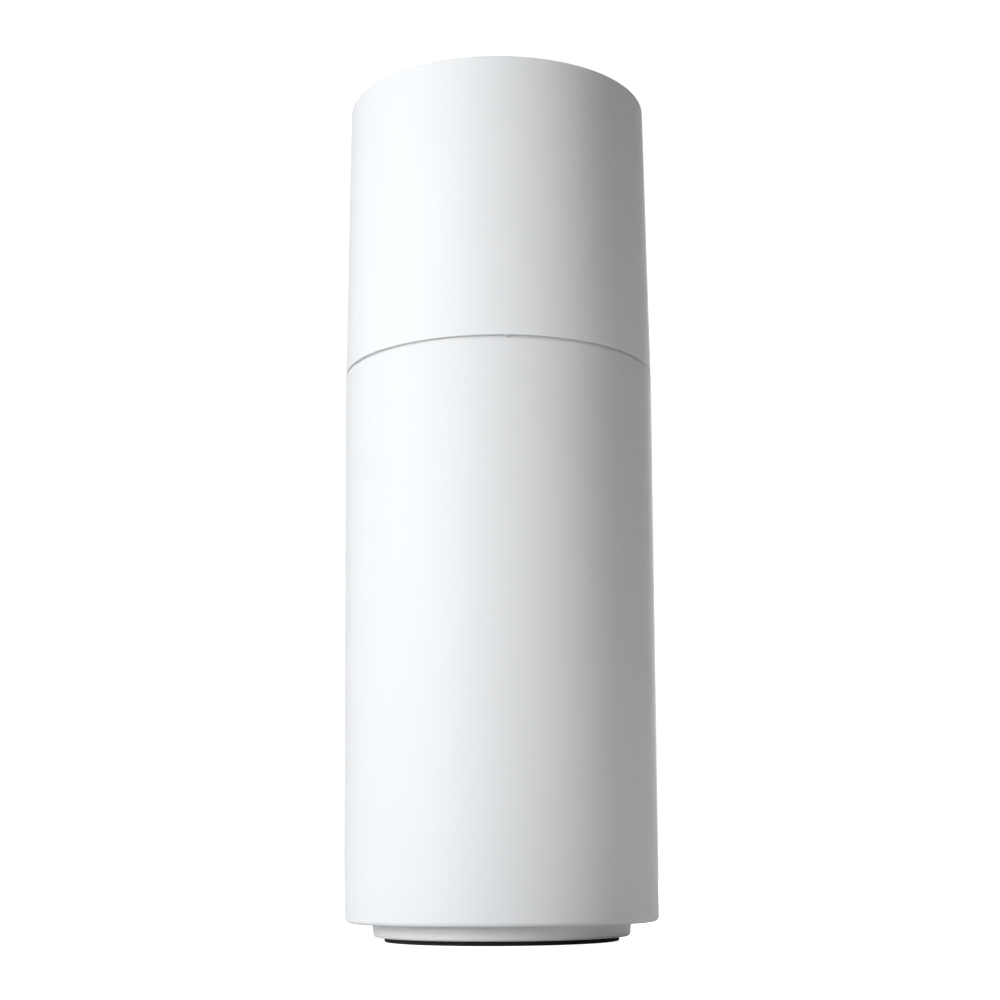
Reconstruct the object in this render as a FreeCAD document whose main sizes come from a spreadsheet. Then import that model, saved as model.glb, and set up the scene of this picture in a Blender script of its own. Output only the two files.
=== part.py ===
"""Cylindrical desktop air purifier: a base with its filter, and a lift-off fan head.

Millimetres, +Z up. The origin is on the table, at the centre of the foot. The front is -Y.
Air enters through a ring of slots under the base, passes through the pleated filter into its
core, and is drawn up by the fan in the head and out through the grille on top.
"""
import FreeCAD, Part
import math
import os
import re
import Sketcher

SIZES = {
    # outer casing
    "bottom_radius": 54.4,
    "body_radius": 55.9,
    "seam_radius": 55.8,
    "top_radius": 54.8,
    "wall": 2.0,
    "body_top": 303.0,
    "seam_bottom": 200.3,
    "seam_top": 201.5,
    "seam_recess": 1.8,
    "seam_edge": 0.25,
    "shell_bottom": 6.4,
    "shell_round": 1.8,
    "top_round": 0.6,
    "nib_width": 0.6,
    "nib_drop": 0.45,
    "nib_offset": 2.7,
    # clearances, from loose to press fit, and the reach of a cut or joint past its target
    "gap": 0.3,
    "slip": 0.1,
    "snug": 0.05,
    "past": 1.0,
    "middle": 0.0,
    # foot and plinth
    "foot_radius": 40.6,
    "foot_height": 1.6,
    "foot_chamfer": 0.3,
    "plinth_radius": 44.95,
    "plinth_taper": 0.5,
    "plinth_wall": 2.2,
    "plinth_round": 1.2,
    "weight_radius": 28.0,
    "weight_bore": 6.0,
    # intake grille at the bottom of the base
    "grille_bottom": 8.8,
    "grille_thick": 3.0,
    "slot_inner_radius": 45.8,
    "slot_outer_radius": 50.4,
    "slot_inner_width": 6.7,
    "slot_outer_width": 7.5,
    "slot_count": 36,
    "lug_radius": 3.3,
    "lug_circle": 48.1,
    "lug_height": 14.0,
    "post_circle": 33.0,
    "post_radius": 3.6,
    "boss_height": 1.65,
    "boss_hole_depth": 4.2,
    "seat_width": 4.0,
    "fastener_count": 4,
    # screws
    "screw_radius": 1.25,
    "screw_hole": 1.5,
    "screw_head": 2.5,
    "screw_head_height": 1.3,
    "screw_socket": 1.0,
    "screw_socket_depth": 0.8,
    "plinth_screw_bite": 4.0,
    "grille_screw_bite": 8.0,
    "duct_screw_bite": 6.0,
    # magnets that hold the head on the base
    "magnet_radius": 3.0,
    "magnet_height": 2.0,
    "magnet_circle": 49.5,
    "seat_inner_radius": 46.0,
    "seat_bottom": 188.0,
    # filter cartridge
    "filter_bottom": 14.0,
    "filter_radius": 43.5,
    "cap_thick": 3.0,
    "cap_rim": 1.2,
    "cap_lip": 3.0,
    "media_top": 173.0,
    "media_outer": 42.0,
    "media_inner": 30.0,
    "media_depth": 3.0,
    "pleat_count": 48,
    "sleeve_outer": 29.3,
    "core_outer": 26.0,
    "core_inner": 24.5,
    "window_width": 7.0,
    "window_height": 10.0,
    "window_pitch": 15.0,
    "window_rows": 10,
    "window_columns": 12,
    "net_thick": 0.6,
    "rim_inner": 40.5,
    "rim_top": 190.0,
    # folding handle on the filter
    "handle_height": 179.5,
    "handle_half": 29.3,
    "handle_reach": 15.3,
    "handle_bar": 2.6,
    "pivot_radius": 1.2,
    "pivot_end": 32.4,
    "ear_inner": 29.8,
    "ear_outer": 33.0,
    "ear_half": 3.0,
    # head base ring and fan duct
    "head_bottom": 196.0,
    "land_thick": 2.4,
    "duct_inner": 40.3,
    "duct_wall": 1.8,
    "duct_top": 240.0,
    "spigot_outer": 53.6,
    "spigot_wall": 1.8,
    "spigot_top": 208.0,
    "flange_thick": 0.9,
    "snap_bottom": 205.0,
    "snap_height": 1.4,
    "snap_depth": 0.7,
    "snap_width": 8.0,
    "duct_flange": 2.2,
    "duct_screw_circle": 46.3,
    "duct_boss": 2.9,
    "duct_boss_height": 8.0,
    # finger guard under the fan
    "guard_height": 198.6,
    "guard_wire": 0.8,
    "guard_lift": 0.55,
    "guard_pitch": 8.0,
    "guard_rings": 4,
    "guard_spokes": 4,
    # straightening vanes above the fan
    "vane_height": 24.0,
    "vane_count": 9,
    "vane_lean": 4.2,
    "vane_thick": 1.6,
    "hub_outer": 17.5,
    "hub_wall": 1.5,
    "hub_floor": 2.0,
    "vane_root": 0.6,
    "vane_foot": 1.0,
    "vane_head": 2.0,
    "vane_bow": 0.3,
    # fan motor and impeller
    "fan_bottom": 212.0,
    "fan_top": 235.2,
    "fan_hub": 16.5,
    "fan_hub_wall": 1.2,
    "fan_nose": 4.0,
    "blade_end_offset": 36.9,
    "blade_count": 7,
    "blade_thick": 1.5,
    "blade_foot": 1.5,
    "blade_head": 0.5,
    "blade_bow": 0.2,
    "root_lean": 4.0,
    "tip_lean": 12.0,
    "can_outer": 15.2,
    "can_wall": 0.8,
    "can_bottom": 213.6,
    "can_top": 235.0,
    "ring_magnet_inner": 12.9,
    "ring_magnet_bottom": 217.0,
    "ring_magnet_top": 233.0,
    "core_bottom": 219.0,
    "core_top": 231.0,
    "core_ring": 6.9,
    "tooth_reach": 12.2,
    "tooth_width": 3.0,
    "tooth_face": 8.6,
    "tooth_tip": 1.2,
    "tooth_root": 0.5,
    "tooth_count": 6,
    "coil_wall": 1.6,
    "coil_length": 3.4,
    "tube_outer": 5.0,
    "tube_bottom": 216.0,
    "mount_bottom": 238.2,
    "mount_radius": 15.6,
    "motor_screw_circle": 12.0,
    "motor_screw_count": 3,
    "bearing_outer": 4.0,
    "bearing_width": 3.0,
    "lower_bearing": 217.0,
    "upper_bearing": 231.0,
    "shaft_radius": 1.5,
    "shaft_fit": 0.03,
    "shaft_top": 238.0,
    "clip_height": 234.6,
    "clip_outer": 3.0,
    "clip_thick": 0.6,
    "driver_bottom": 236.2,
    "driver_radius": 14.4,
    "board_thick": 1.0,
    # pod, controls and outlet grille on top
    "grille_ledge": 298.6,
    "ledge_width": 1.8,
    "ledge_thick": 1.6,
    "outlet_top": 302.0,
    "outlet_rim": 1.8,
    "outlet_hub": 19.8,
    "fin_count": 40,
    "fin_thick": 1.3,
    "fin_ring_first": 28.0,
    "fin_ring_pitch": 11.0,
    "fin_ring_count": 2,
    "fin_ring_lift": 1.0,
    "fin_ring_drop": 0.6,
    "fin_drop": 0.3,
    "panel_seat": 1.0,
    "panel_radius": 17.4,
    "panel_top": 302.2,
    "panel_thick": 2.0,
    "light_inner": 8.6,
    "light_outer": 10.0,
    "light_depth": 1.0,
    "board_bottom": 292.0,
    "board_radius": 15.6,
    "board_ledge": 1.5,
    "board_ledge_slope": 2.0,
    "lamp_count": 8,
    "lamp_half": 0.8,
    "lamp_half_length": 1.0,
    "lamp_height": 0.8,
    "processor_half": 3.0,
    "processor_front": 8.5,
    "power_plug_inner": 8.4,
    "power_plug_outer": 12.4,
    "motor_plug_inner": 6.5,
    "motor_plug_outer": 11.5,
    "plug_half": 2.5,
    "under_height": 1.4,
    "button_radius": 6.2,
    "button_hole": 6.6,
    "button_top": 302.6,
    "button_flange": 7.8,
    "button_flange_top": 299.8,
    "button_flange_thick": 1.2,
    "button_stem": 1.5,
    "button_stem_bottom": 296.1,
    "button_edge": 0.5,
    "button_dish": 0.4,
    "switch_half": 3.0,
    "switch_height": 2.0,
    "spring_radius": 5.2,
    "spring_wire": 0.3,
    "spring_turns": 4,
    # power inlet at the back of the head
    "inlet_height": 218.5,
    "inlet_width": 9.0,
    "inlet_thick": 3.2,
    "inlet_metal": 0.3,
    "inlet_back": 46.2,
    "inlet_front": 54.4,
    "inlet_clear": 0.25,
    "inlet_end_wall": 0.5,
    "tongue_recess": 1.0,
    "tongue_width": 6.7,
    "tongue_thick": 0.7,
    "inlet_board_half": 7.0,
    "inlet_board_back": 44.0,
    "inlet_board_front": 51.6,
    "bracket_half": 6.0,
    "bracket_depth": 4.0,
    # leads
    "lead_radius": 1.0,
    "lead_offset": 3.5,
    "lead_back": 44.9,
    "lead_cross": 272.0,
    "lead_inner": 11.0,
    "lead_bend": 6.0,
    "motor_lead_offset": 9.0,
    "motor_lead_radius": 1.2,
    "lead_hole": 1.7,
}

# heights and radii worked out from the sizes above
PLINTH_FLOOR = "foot_height + 2.0"
GRILLE_TOP = "grille_bottom + grille_thick"
CAP_TOP = "media_top + cap_thick"
MEDIA_BOTTOM = "filter_bottom + cap_thick"
GASKET_TOP = "head_bottom - gap"
LAND_TOP = "head_bottom + land_thick"
DUCT_OUTER = "duct_inner + duct_wall"
VANE_TOP = "duct_top + vane_height"
HUB_INNER = "hub_outer - hub_wall"
BOARD_TOP = "board_bottom + board_thick"
SHELL_INNER = "body_radius - wall"
SHELL_FLARE = "(body_radius - bottom_radius) / (seam_bottom - shell_bottom)"
HEAD_INNER = "top_radius - wall"

# corners of the fan's rounded nose: shares of its hub's radius and of the nose's depth
NOSE = [(0.5, 0.8), (0.85, 0.3)]

# how close two measures are when they are taken as the same
TOLERANCE = 0.01

SIZE_WORD = re.compile(r"[a-z_]+")

doc = FreeCAD.newDocument("air_purifier")
dim = doc.addObject("Spreadsheet::Sheet", "dim")
for row, (name, value) in enumerate(SIZES.items(), 1):
    dim.set(f"A{row}", name)
    dim.set(f"B{row}", str(value))
    dim.setAlias(f"B{row}", name)
doc.recompute()


def bound(text):
    """An expression with every size name pointed at its cell in the sheet."""
    return SIZE_WORD.sub(lambda word: "dim." + word.group() if word.group() in SIZES else word.group(), text)


def number(text):
    """The value that an expression has now."""
    return float(dim.evalExpression(bound(text)))


def new_body(label):
    """An empty body, which becomes one node."""
    body = doc.addObject("PartDesign::Body", label)
    body.Label = label
    body.AllowCompound = True
    return body


def inside_shell(height):
    """The inner radius of the lower casing, which widens upwards, at a height."""
    return f"{SHELL_INNER} - (seam_bottom - ({height})) * {SHELL_FLARE}"


def origin_part(body, role):
    """One of a body's own origin planes or axes."""
    return next(feature for feature in body.Origin.OriginFeatures if feature.Role == role)


def new_sketch(body, name, role, offset=None):
    """A sketch on an origin plane, moved along the plane's normal by offset."""
    sketch = body.newObject("Sketcher::SketchObject", name)
    sketch.AttachmentSupport = (origin_part(body, role), "")
    sketch.MapMode = "FlatFace"
    if offset:
        sketch.setExpression("AttachmentOffset.Base.z", bound(offset))
    return sketch


def pin_point(sketch, index, end, x, y):
    """Hold one end of a sketch element, or a circle's centre, at two bound coordinates."""
    for kind, text in (("DistanceX", x), ("DistanceY", y)):
        place = sketch.addConstraint(Sketcher.Constraint(kind, -1, 1, index, end, number(text)))
        sketch.setExpression(f"Constraints[{place}]", bound(text))


def add_loop(sketch, points):
    """A closed outline of straight lines through bound points."""
    corners = [FreeCAD.Vector(number(x), number(y), 0) for x, y in points]
    first = sketch.GeometryCount
    count = len(corners)
    for i in range(count):
        sketch.addGeometry(Part.LineSegment(corners[i], corners[(i + 1) % count]), False)
    for i in range(count):
        following = first + (i + 1) % count
        sketch.addConstraint(Sketcher.Constraint("Coincident", first + i, 2, following, 1))
        pin_point(sketch, first + i, 1, *points[i])


def add_circle(sketch, x, y, radius):
    """A circle with a bound centre and radius."""
    centre = FreeCAD.Vector(number(x), number(y), 0)
    index = sketch.addGeometry(Part.Circle(centre, FreeCAD.Vector(0, 0, 1), number(radius)), False)
    pin_point(sketch, index, 3, x, y)
    place = sketch.addConstraint(Sketcher.Constraint("Radius", index, number(radius)))
    sketch.setExpression(f"Constraints[{place}]", bound(radius))


def rectangle(x_low, y_low, x_high, y_high):
    """The four corners between two bound limits."""
    return [(x_low, y_low), (x_high, y_low), (x_high, y_high), (x_low, y_high)]


def bar(half_width, y_low, y_high):
    """The four corners of a rectangle that is centred on the sketch's vertical axis."""
    return rectangle(f"-({half_width})", y_low, half_width, y_high)


def turn(body, name, *loops, cut=False):
    """Turn outlines of radius and height about the Z axis, as material or as a groove."""
    sketch = new_sketch(body, name + "_outline", "XZ_Plane")
    for points in loops:
        add_loop(sketch, points)
    kind = "PartDesign::Groove" if cut else "PartDesign::Revolution"
    feature = body.newObject(kind, name)
    feature.Profile = sketch
    feature.ReferenceAxis = (sketch, ["V_Axis"])
    feature.Angle = 360
    return feature


def extrude(body, sketch, name, length, cut=False, down=False):
    """Pad or pocket a sketch. A pad goes along the plane's normal unless down is set."""
    feature = body.newObject("PartDesign::Pocket" if cut else "PartDesign::Pad", name)
    feature.Profile = sketch
    feature.setExpression("Length", bound(length))
    feature.Reversed = down
    return feature


def raise_loops(body, name, loops, bottom, length):
    """Pad outlines of X and Y upwards from a height."""
    sketch = new_sketch(body, name + "_outline", "XY_Plane", bottom)
    for points in loops:
        add_loop(sketch, points)
    return extrude(body, sketch, name, length)


def raise_circle(body, name, circles, bottom, length):
    """Pad circles (x, y, radius) upwards from a height."""
    sketch = new_sketch(body, name + "_circle", "XY_Plane", bottom)
    for circle in circles:
        add_circle(sketch, *circle)
    return extrude(body, sketch, name, length)


def sink_circle(body, name, circles, top, depth):
    """Pocket circles (x, y, radius) downwards from a height."""
    sketch = new_sketch(body, name + "_circle", "XY_Plane", top)
    for circle in circles:
        add_circle(sketch, *circle)
    return extrude(body, sketch, name, depth, cut=True)


def repeat(body, name, originals, count):
    """Repeat features round the Z axis."""
    pattern = body.newObject("PartDesign::PolarPattern", name)
    pattern.Originals = originals
    pattern.Axis = (origin_part(body, "Z_Axis"), [""])
    pattern.Angle = 360
    pattern.setExpression("Occurrences", bound(count))
    body.Tip = pattern
    return pattern


def rim_names(feature, radius, height):
    """The names of a feature's circular edges about the Z axis at one radius and height."""
    doc.recompute()
    names = []
    for index, edge in enumerate(feature.Shape.Edges, 1):
        curve = edge.Curve
        if not isinstance(curve, Part.Circle):
            continue
        apart = max(abs(curve.Radius - number(radius)), abs(curve.Center.z - number(height)))
        if apart < TOLERANCE:
            names.append(f"Edge{index}")
    return names


def dress(body, name, feature, radius, height, size, kind="PartDesign::Fillet"):
    """Round or chamfer the circular edge at one radius and height."""
    edges = rim_names(feature, radius, height)
    dressed = body.newObject(kind, name)
    dressed.Base = (feature, edges)
    dressed.setExpression("Radius" if kind.endswith("Fillet") else "Size", bound(size))
    return dressed


def ring(label, inner, outer, bottom, top):
    """A plain ring or, with an inner radius of nothing, a disc."""
    body = new_body(label)
    turn(body, label + "_ring", rectangle(inner, bottom, outer, top))
    return body


def turned_about(body, name, radius, points):
    """Turn an outline about a vertical line at a distance in front of the Z axis."""
    sketch = new_sketch(body, name + "_outline", "XZ_Plane")
    add_loop(sketch, points)
    start = FreeCAD.Vector(number(radius), 0, 0)
    line = sketch.addGeometry(Part.LineSegment(start, start + FreeCAD.Vector(0, 10, 0)), True)
    sketch.addConstraint(Sketcher.Constraint("Vertical", line))
    pin_point(sketch, line, 1, radius, "middle")
    feature = body.newObject("PartDesign::Revolution", name)
    feature.Profile = sketch
    feature.ReferenceAxis = (sketch, ["Axis0"])
    feature.Angle = 360
    return feature


def screws(label, circle, head_outer_end, shank_end, count, head_down, turn_by=0):
    """A ring of pan-head screws with a driver socket, their heads at the bottom or the top."""
    sign = "+" if head_down else "-"
    neck = f"{head_outer_end} {sign} screw_head_height"
    socket = f"{head_outer_end} {sign} screw_socket_depth"
    body = new_body(label)
    screw = turned_about(body, label + "_one", circle, [
        (circle, socket),
        (f"{circle} + screw_socket", socket),
        (f"{circle} + screw_socket", head_outer_end),
        (f"{circle} + screw_head", head_outer_end),
        (f"{circle} + screw_head", neck),
        (f"{circle} + screw_radius", neck),
        (f"{circle} + screw_radius", shank_end),
        (circle, shank_end),
    ])
    repeat(body, label + "_all", [screw], count)
    body.Placement.Rotation = FreeCAD.Rotation(FreeCAD.Vector(0, 0, 1), turn_by)
    return body


def foot_pad():
    body = new_body("foot_pad")
    disc = turn(body, "foot_disc", rectangle("middle", "middle", "foot_radius", "foot_height"))
    dress(body, "foot_edge", disc, "foot_radius", "middle", "foot_chamfer", "PartDesign::Chamfer")


def plinth():
    """A shallow cup with a rounded lower edge and four screw posts."""
    body = new_body("plinth")
    cup = turn(body, "plinth_cup", [
        ("middle", "foot_height"),
        ("plinth_radius - plinth_taper", "foot_height"),
        ("plinth_radius", "grille_bottom"),
        ("plinth_radius - plinth_wall", "grille_bottom"),
        ("plinth_radius - plinth_wall", PLINTH_FLOOR),
        ("middle", PLINTH_FLOOR),
    ])
    dress(body, "plinth_edge", cup, "plinth_radius - plinth_taper", "foot_height", "plinth_round")
    post = raise_circle(body, "post", [("post_circle", "middle", "post_radius")],
                        PLINTH_FLOOR, f"grille_bottom - ({PLINTH_FLOOR})")
    hole = sink_circle(body, "post_hole", [("post_circle", "middle", "screw_hole")],
                       "grille_bottom", "grille_bottom - foot_height")
    recess = sink_circle(body, "head_recess", [("post_circle", "middle", "screw_head + gap")],
                         "foot_height + screw_head_height + gap", "screw_head_height + gap")
    repeat(body, "posts", [post, hole, recess], "fastener_count")


def base_weight():
    ring("base_weight", "weight_bore", "weight_radius", PLINTH_FLOOR, "grille_bottom")


def intake_grille():
    """The base's floor: a disc with a ring of air slots round the plinth."""
    body = new_body("intake_grille")
    edge = f"{inside_shell('grille_bottom')} - snug"
    turn(body, "floor_disc", rectangle("middle", "grille_bottom", edge, GRILLE_TOP))
    sketch = new_sketch(body, "slot_outline", "XY_Plane", GRILLE_TOP)
    add_loop(sketch, [
        ("slot_inner_radius", "-slot_inner_width / 2"),
        ("slot_outer_radius", "-slot_outer_width / 2"),
        ("slot_outer_radius", "slot_outer_width / 2"),
        ("slot_inner_radius", "slot_inner_width / 2"),
    ])
    slot = extrude(body, sketch, "slot", "grille_thick", cut=True)
    repeat(body, "slots", [slot], "slot_count")
    lug = raise_circle(body, "lug", [("lug_circle", "middle", "lug_radius")], "grille_bottom", "grille_thick")
    boss = raise_circle(body, "boss", [("post_circle", "middle", "post_radius")], GRILLE_TOP, "boss_height")
    lug_hole = sink_circle(body, "lug_hole", [("lug_circle", "middle", "screw_hole")],
                           GRILLE_TOP, "grille_thick")
    boss_hole = sink_circle(body, "boss_hole", [("post_circle", "middle", "screw_radius")],
                            "grille_bottom + boss_hole_depth", "boss_hole_depth")
    repeat(body, "lugs", [lug, boss, lug_hole, boss_hole], "fastener_count")


def lower_shell():
    """The tall casing of the base, with four screw blocks above the intake grille."""
    body = new_body("lower_shell")
    tube = turn(body, "shell_tube", [
        ("bottom_radius - wall", "shell_bottom"),
        ("bottom_radius", "shell_bottom"),
        ("body_radius", "seam_bottom"),
        (SHELL_INNER, "seam_bottom"),
    ])
    lower = dress(body, "lower_edge", tube, "bottom_radius", "shell_bottom", "shell_round")
    upper = dress(body, "upper_edge", lower, "body_radius", "seam_bottom", "seam_edge")
    body.Tip = upper
    block = raise_loops(body, "block",
                        [rectangle("lug_circle - lug_radius + gap", "-lug_radius + gap",
                                   "bottom_radius - wall / 2", "lug_radius - gap")],
                        GRILLE_TOP, "lug_height")
    hole = sink_circle(body, "block_hole", [("lug_circle", "middle", "screw_radius")],
                       f"{GRILLE_TOP} + lug_height - wall", "lug_height - wall")
    repeat(body, "blocks", [block, hole], "fastener_count")


def filter_seat():
    """A soft ring that the cartridge stands on."""
    ring("filter_seat", "media_outer - seat_width", "media_outer", GRILLE_TOP, "filter_bottom - gap")


def seat_ring():
    """The ring near the top of the base that carries its magnets."""
    body = new_body("seat_ring")
    turn(body, "seat_ring_solid", [
        ("seat_inner_radius", "seat_bottom"),
        (f"{inside_shell('seat_bottom')} - snug", "seat_bottom"),
        (f"{inside_shell(GASKET_TOP)} - snug", GASKET_TOP),
        ("seat_inner_radius", GASKET_TOP),
    ])
    pocket = sink_circle(body, "magnet_pocket", [("magnet_circle", "middle", "magnet_radius + snug")],
                         GASKET_TOP, "magnet_height")
    repeat(body, "magnet_pockets", [pocket], "fastener_count")


def magnets(label, bottom):
    """Four disc magnets on the magnet circle."""
    body = new_body(label)
    disc = raise_circle(body, label + "_one", [("magnet_circle", "middle", "magnet_radius")],
                        bottom, "magnet_height")
    repeat(body, label + "_all", [disc], "fastener_count")


def filter_bottom_cap():
    body = new_body("filter_bottom_cap")
    turn(body, "bottom_dish", [
        ("middle", "filter_bottom"),
        ("filter_radius", "filter_bottom"),
        ("filter_radius", f"{MEDIA_BOTTOM} + cap_lip"),
        ("filter_radius - cap_rim", f"{MEDIA_BOTTOM} + cap_lip"),
        ("filter_radius - cap_rim", MEDIA_BOTTOM),
        ("middle", MEDIA_BOTTOM),
    ])


def filter_media():
    """One pleat of thick paper, repeated round the core."""
    body = new_body("filter_media")
    across = "sin(180 deg / pleat_count)"
    along = "cos(180 deg / pleat_count)"
    sketch = new_sketch(body, "pleat_outline", "XY_Plane", MEDIA_BOTTOM)
    valley = "(media_inner + media_depth)"
    add_loop(sketch, [
        (f"media_inner * {along}", f"-media_inner * {across}"),
        (f"{valley} * {along}", f"-{valley} * {across}"),
        ("media_outer", "middle"),
        (f"{valley} * {along}", f"{valley} * {across}"),
        (f"media_inner * {along}", f"media_inner * {across}"),
        ("media_outer - media_depth", "middle"),
    ])
    pleat = extrude(body, sketch, "pleat", f"media_top - ({MEDIA_BOTTOM})")
    repeat(body, "pleats", [pleat], "pleat_count")


def carbon_sleeve():
    ring("carbon_sleeve", "core_outer", "sleeve_outer", MEDIA_BOTTOM, "media_top")


def filter_core():
    """The tube inside the filter, with columns of rectangular windows."""
    body = new_body("filter_core")
    turn(body, "core_tube", rectangle("core_inner", MEDIA_BOTTOM, "core_outer", "media_top"))
    first = f"{MEDIA_BOTTOM} + window_height / 2"
    sketch = new_sketch(body, "window_outline", "YZ_Plane", "core_inner - past")
    for row in range(int(SIZES["window_rows"])):
        bottom = f"{first} + {row} * window_pitch"
        add_loop(sketch, bar("window_width / 2", bottom, f"{bottom} + window_height"))
    windows = extrude(body, sketch, "window", "core_outer - core_inner + 2 * past", cut=True, down=True)
    repeat(body, "windows", [windows], "window_columns")


def prefilter_net():
    """The net sleeve round the pleats."""
    ring("prefilter_net", "media_outer + slip", "media_outer + slip + net_thick",
         f"{MEDIA_BOTTOM} + cap_lip", "media_top - cap_lip")


def filter_top_cap():
    """The upper dish, with a collar for the gasket and two ears for the handle."""
    body = new_body("filter_top_cap")
    turn(body, "top_dish", [
        ("core_inner", "media_top"),
        ("filter_radius - cap_rim", "media_top"),
        ("filter_radius - cap_rim", "media_top - cap_lip"),
        ("filter_radius", "media_top - cap_lip"),
        ("filter_radius", "rim_top"),
        ("rim_inner", "rim_top"),
        ("rim_inner", CAP_TOP),
        ("core_inner", CAP_TOP),
    ])
    raise_loops(body, "ears", [
        rectangle("ear_inner", "-ear_half", "ear_outer", "ear_half"),
        rectangle("-ear_outer", "-ear_half", "-ear_inner", "ear_half"),
    ], CAP_TOP, f"handle_height + ear_half - ({CAP_TOP})")
    sketch = new_sketch(body, "pivot_circle", "YZ_Plane", "-ear_outer - past")
    add_circle(sketch, "middle", "handle_height", "pivot_radius + snug")
    hole = extrude(body, sketch, "pivot_holes", "2 * (ear_outer + past)", cut=True, down=True)
    body.Tip = hole


def filter_gasket():
    ring("filter_gasket", "rim_inner", "filter_radius", "rim_top", GASKET_TOP)


def filter_handle():
    """A flat bail that folds into the top of the filter."""
    body = new_body("filter_handle")
    inner = "(handle_half - handle_bar)"
    raise_loops(body, "bail", [[
        ("-handle_half", "handle_bar / 2"),
        ("-handle_half", "-handle_reach"),
        ("handle_half", "-handle_reach"),
        ("handle_half", "handle_bar / 2"),
        (inner, "handle_bar / 2"),
        (inner, "-handle_reach + handle_bar"),
        (f"-{inner}", "-handle_reach + handle_bar"),
        (f"-{inner}", "handle_bar / 2"),
    ]], "handle_height - handle_bar / 2", "handle_bar")
    for name, start in (("right_pivot", "handle_half - past"), ("left_pivot", "-pivot_end")):
        sketch = new_sketch(body, name + "_circle", "YZ_Plane", start)
        add_circle(sketch, "middle", "handle_height", "pivot_radius")
        extrude(body, sketch, name, "pivot_end - handle_half + past")


def head_base():
    """The ring that closes the bottom of the head and shows as the recessed seam."""
    body = new_body("head_base")
    flange_bottom = "seam_top - flange_thick"
    flange_radius = "body_radius - seam_recess"
    wall_inner = "spigot_outer - spigot_wall"
    turn(body, "head_ring", [
        ("duct_inner", "head_bottom"),
        ("spigot_outer", "head_bottom"),
        ("spigot_outer", flange_bottom),
        (flange_radius, flange_bottom),
        (flange_radius, "seam_top"),
        ("spigot_outer", "seam_top"),
        ("spigot_outer", "spigot_top"),
        (wall_inner, "spigot_top"),
        (wall_inner, LAND_TOP),
        ("duct_inner", LAND_TOP),
    ])
    snap = raise_loops(body, "snap", [rectangle("spigot_outer - past", "-snap_width / 2",
                                                "spigot_outer + snap_depth - gap", "snap_width / 2")],
                       "snap_bottom", "snap_height")
    pocket = sink_circle(body, "magnet_pocket", [("magnet_circle", "middle", "magnet_radius + snug")],
                         "head_bottom + magnet_height", "magnet_height")
    repeat(body, "pockets", [snap, pocket], "fastener_count")
    hole = sink_circle(body, "screw_hole", [diagonal("duct_screw_circle", "screw_hole")],
                       LAND_TOP, "land_thick")
    recess = sink_circle(body, "screw_recess", [diagonal("duct_screw_circle", "screw_head + 2 * slip")],
                         "head_bottom + screw_head_height + slip", "screw_head_height + slip")
    repeat(body, "screw_holes", [hole, recess], "fastener_count")


def diagonal(circle, radius):
    """A circle halfway between the X and Y axes, at a distance from the Z axis."""
    place = f"{circle} * cos(45 deg)"
    return (place, place, radius)


def fan_duct():
    """The straight duct round the fan, on a flange that is screwed to the head's base."""
    body = new_body("fan_duct")
    flange_top = f"{LAND_TOP} + duct_flange"
    turn(body, "duct_tube", [
        ("duct_inner", LAND_TOP),
        ("spigot_outer - spigot_wall - gap", LAND_TOP),
        ("spigot_outer - spigot_wall - gap", flange_top),
        (DUCT_OUTER, flange_top),
        (DUCT_OUTER, "duct_top"),
        ("duct_inner", "duct_top"),
    ])
    boss = raise_circle(body, "boss", [diagonal("duct_screw_circle", "duct_boss")],
                        flange_top, "duct_boss_height")
    hole = sink_circle(body, "boss_hole", [diagonal("duct_screw_circle", "screw_radius")],
                       f"{flange_top} + duct_boss_height - past", "duct_boss_height + duct_flange - past")
    repeat(body, "bosses", [boss, hole], "fastener_count")


def inlet_guard():
    """Rings of wire on four spokes, welded across the fan's inlet."""
    body = new_body("inlet_guard")
    sketch = new_sketch(body, "wire_sections", "XZ_Plane")
    for index in range(int(SIZES["guard_rings"])):
        add_circle(sketch, f"guard_pitch * {index + 1}", "guard_height", "guard_wire")
    rings = body.newObject("PartDesign::Revolution", "guard_ring_wires")
    rings.Profile = sketch
    rings.ReferenceAxis = (sketch, ["V_Axis"])
    rings.Angle = 360
    sketch = new_sketch(body, "spoke_section", "YZ_Plane", "guard_pitch - gap")
    add_circle(sketch, "middle", "guard_height + guard_lift", "guard_wire")
    spoke = extrude(body, sketch, "spoke", "duct_inner - guard_pitch + 2 * slip")
    repeat(body, "spokes", [spoke], "guard_spokes")


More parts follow.
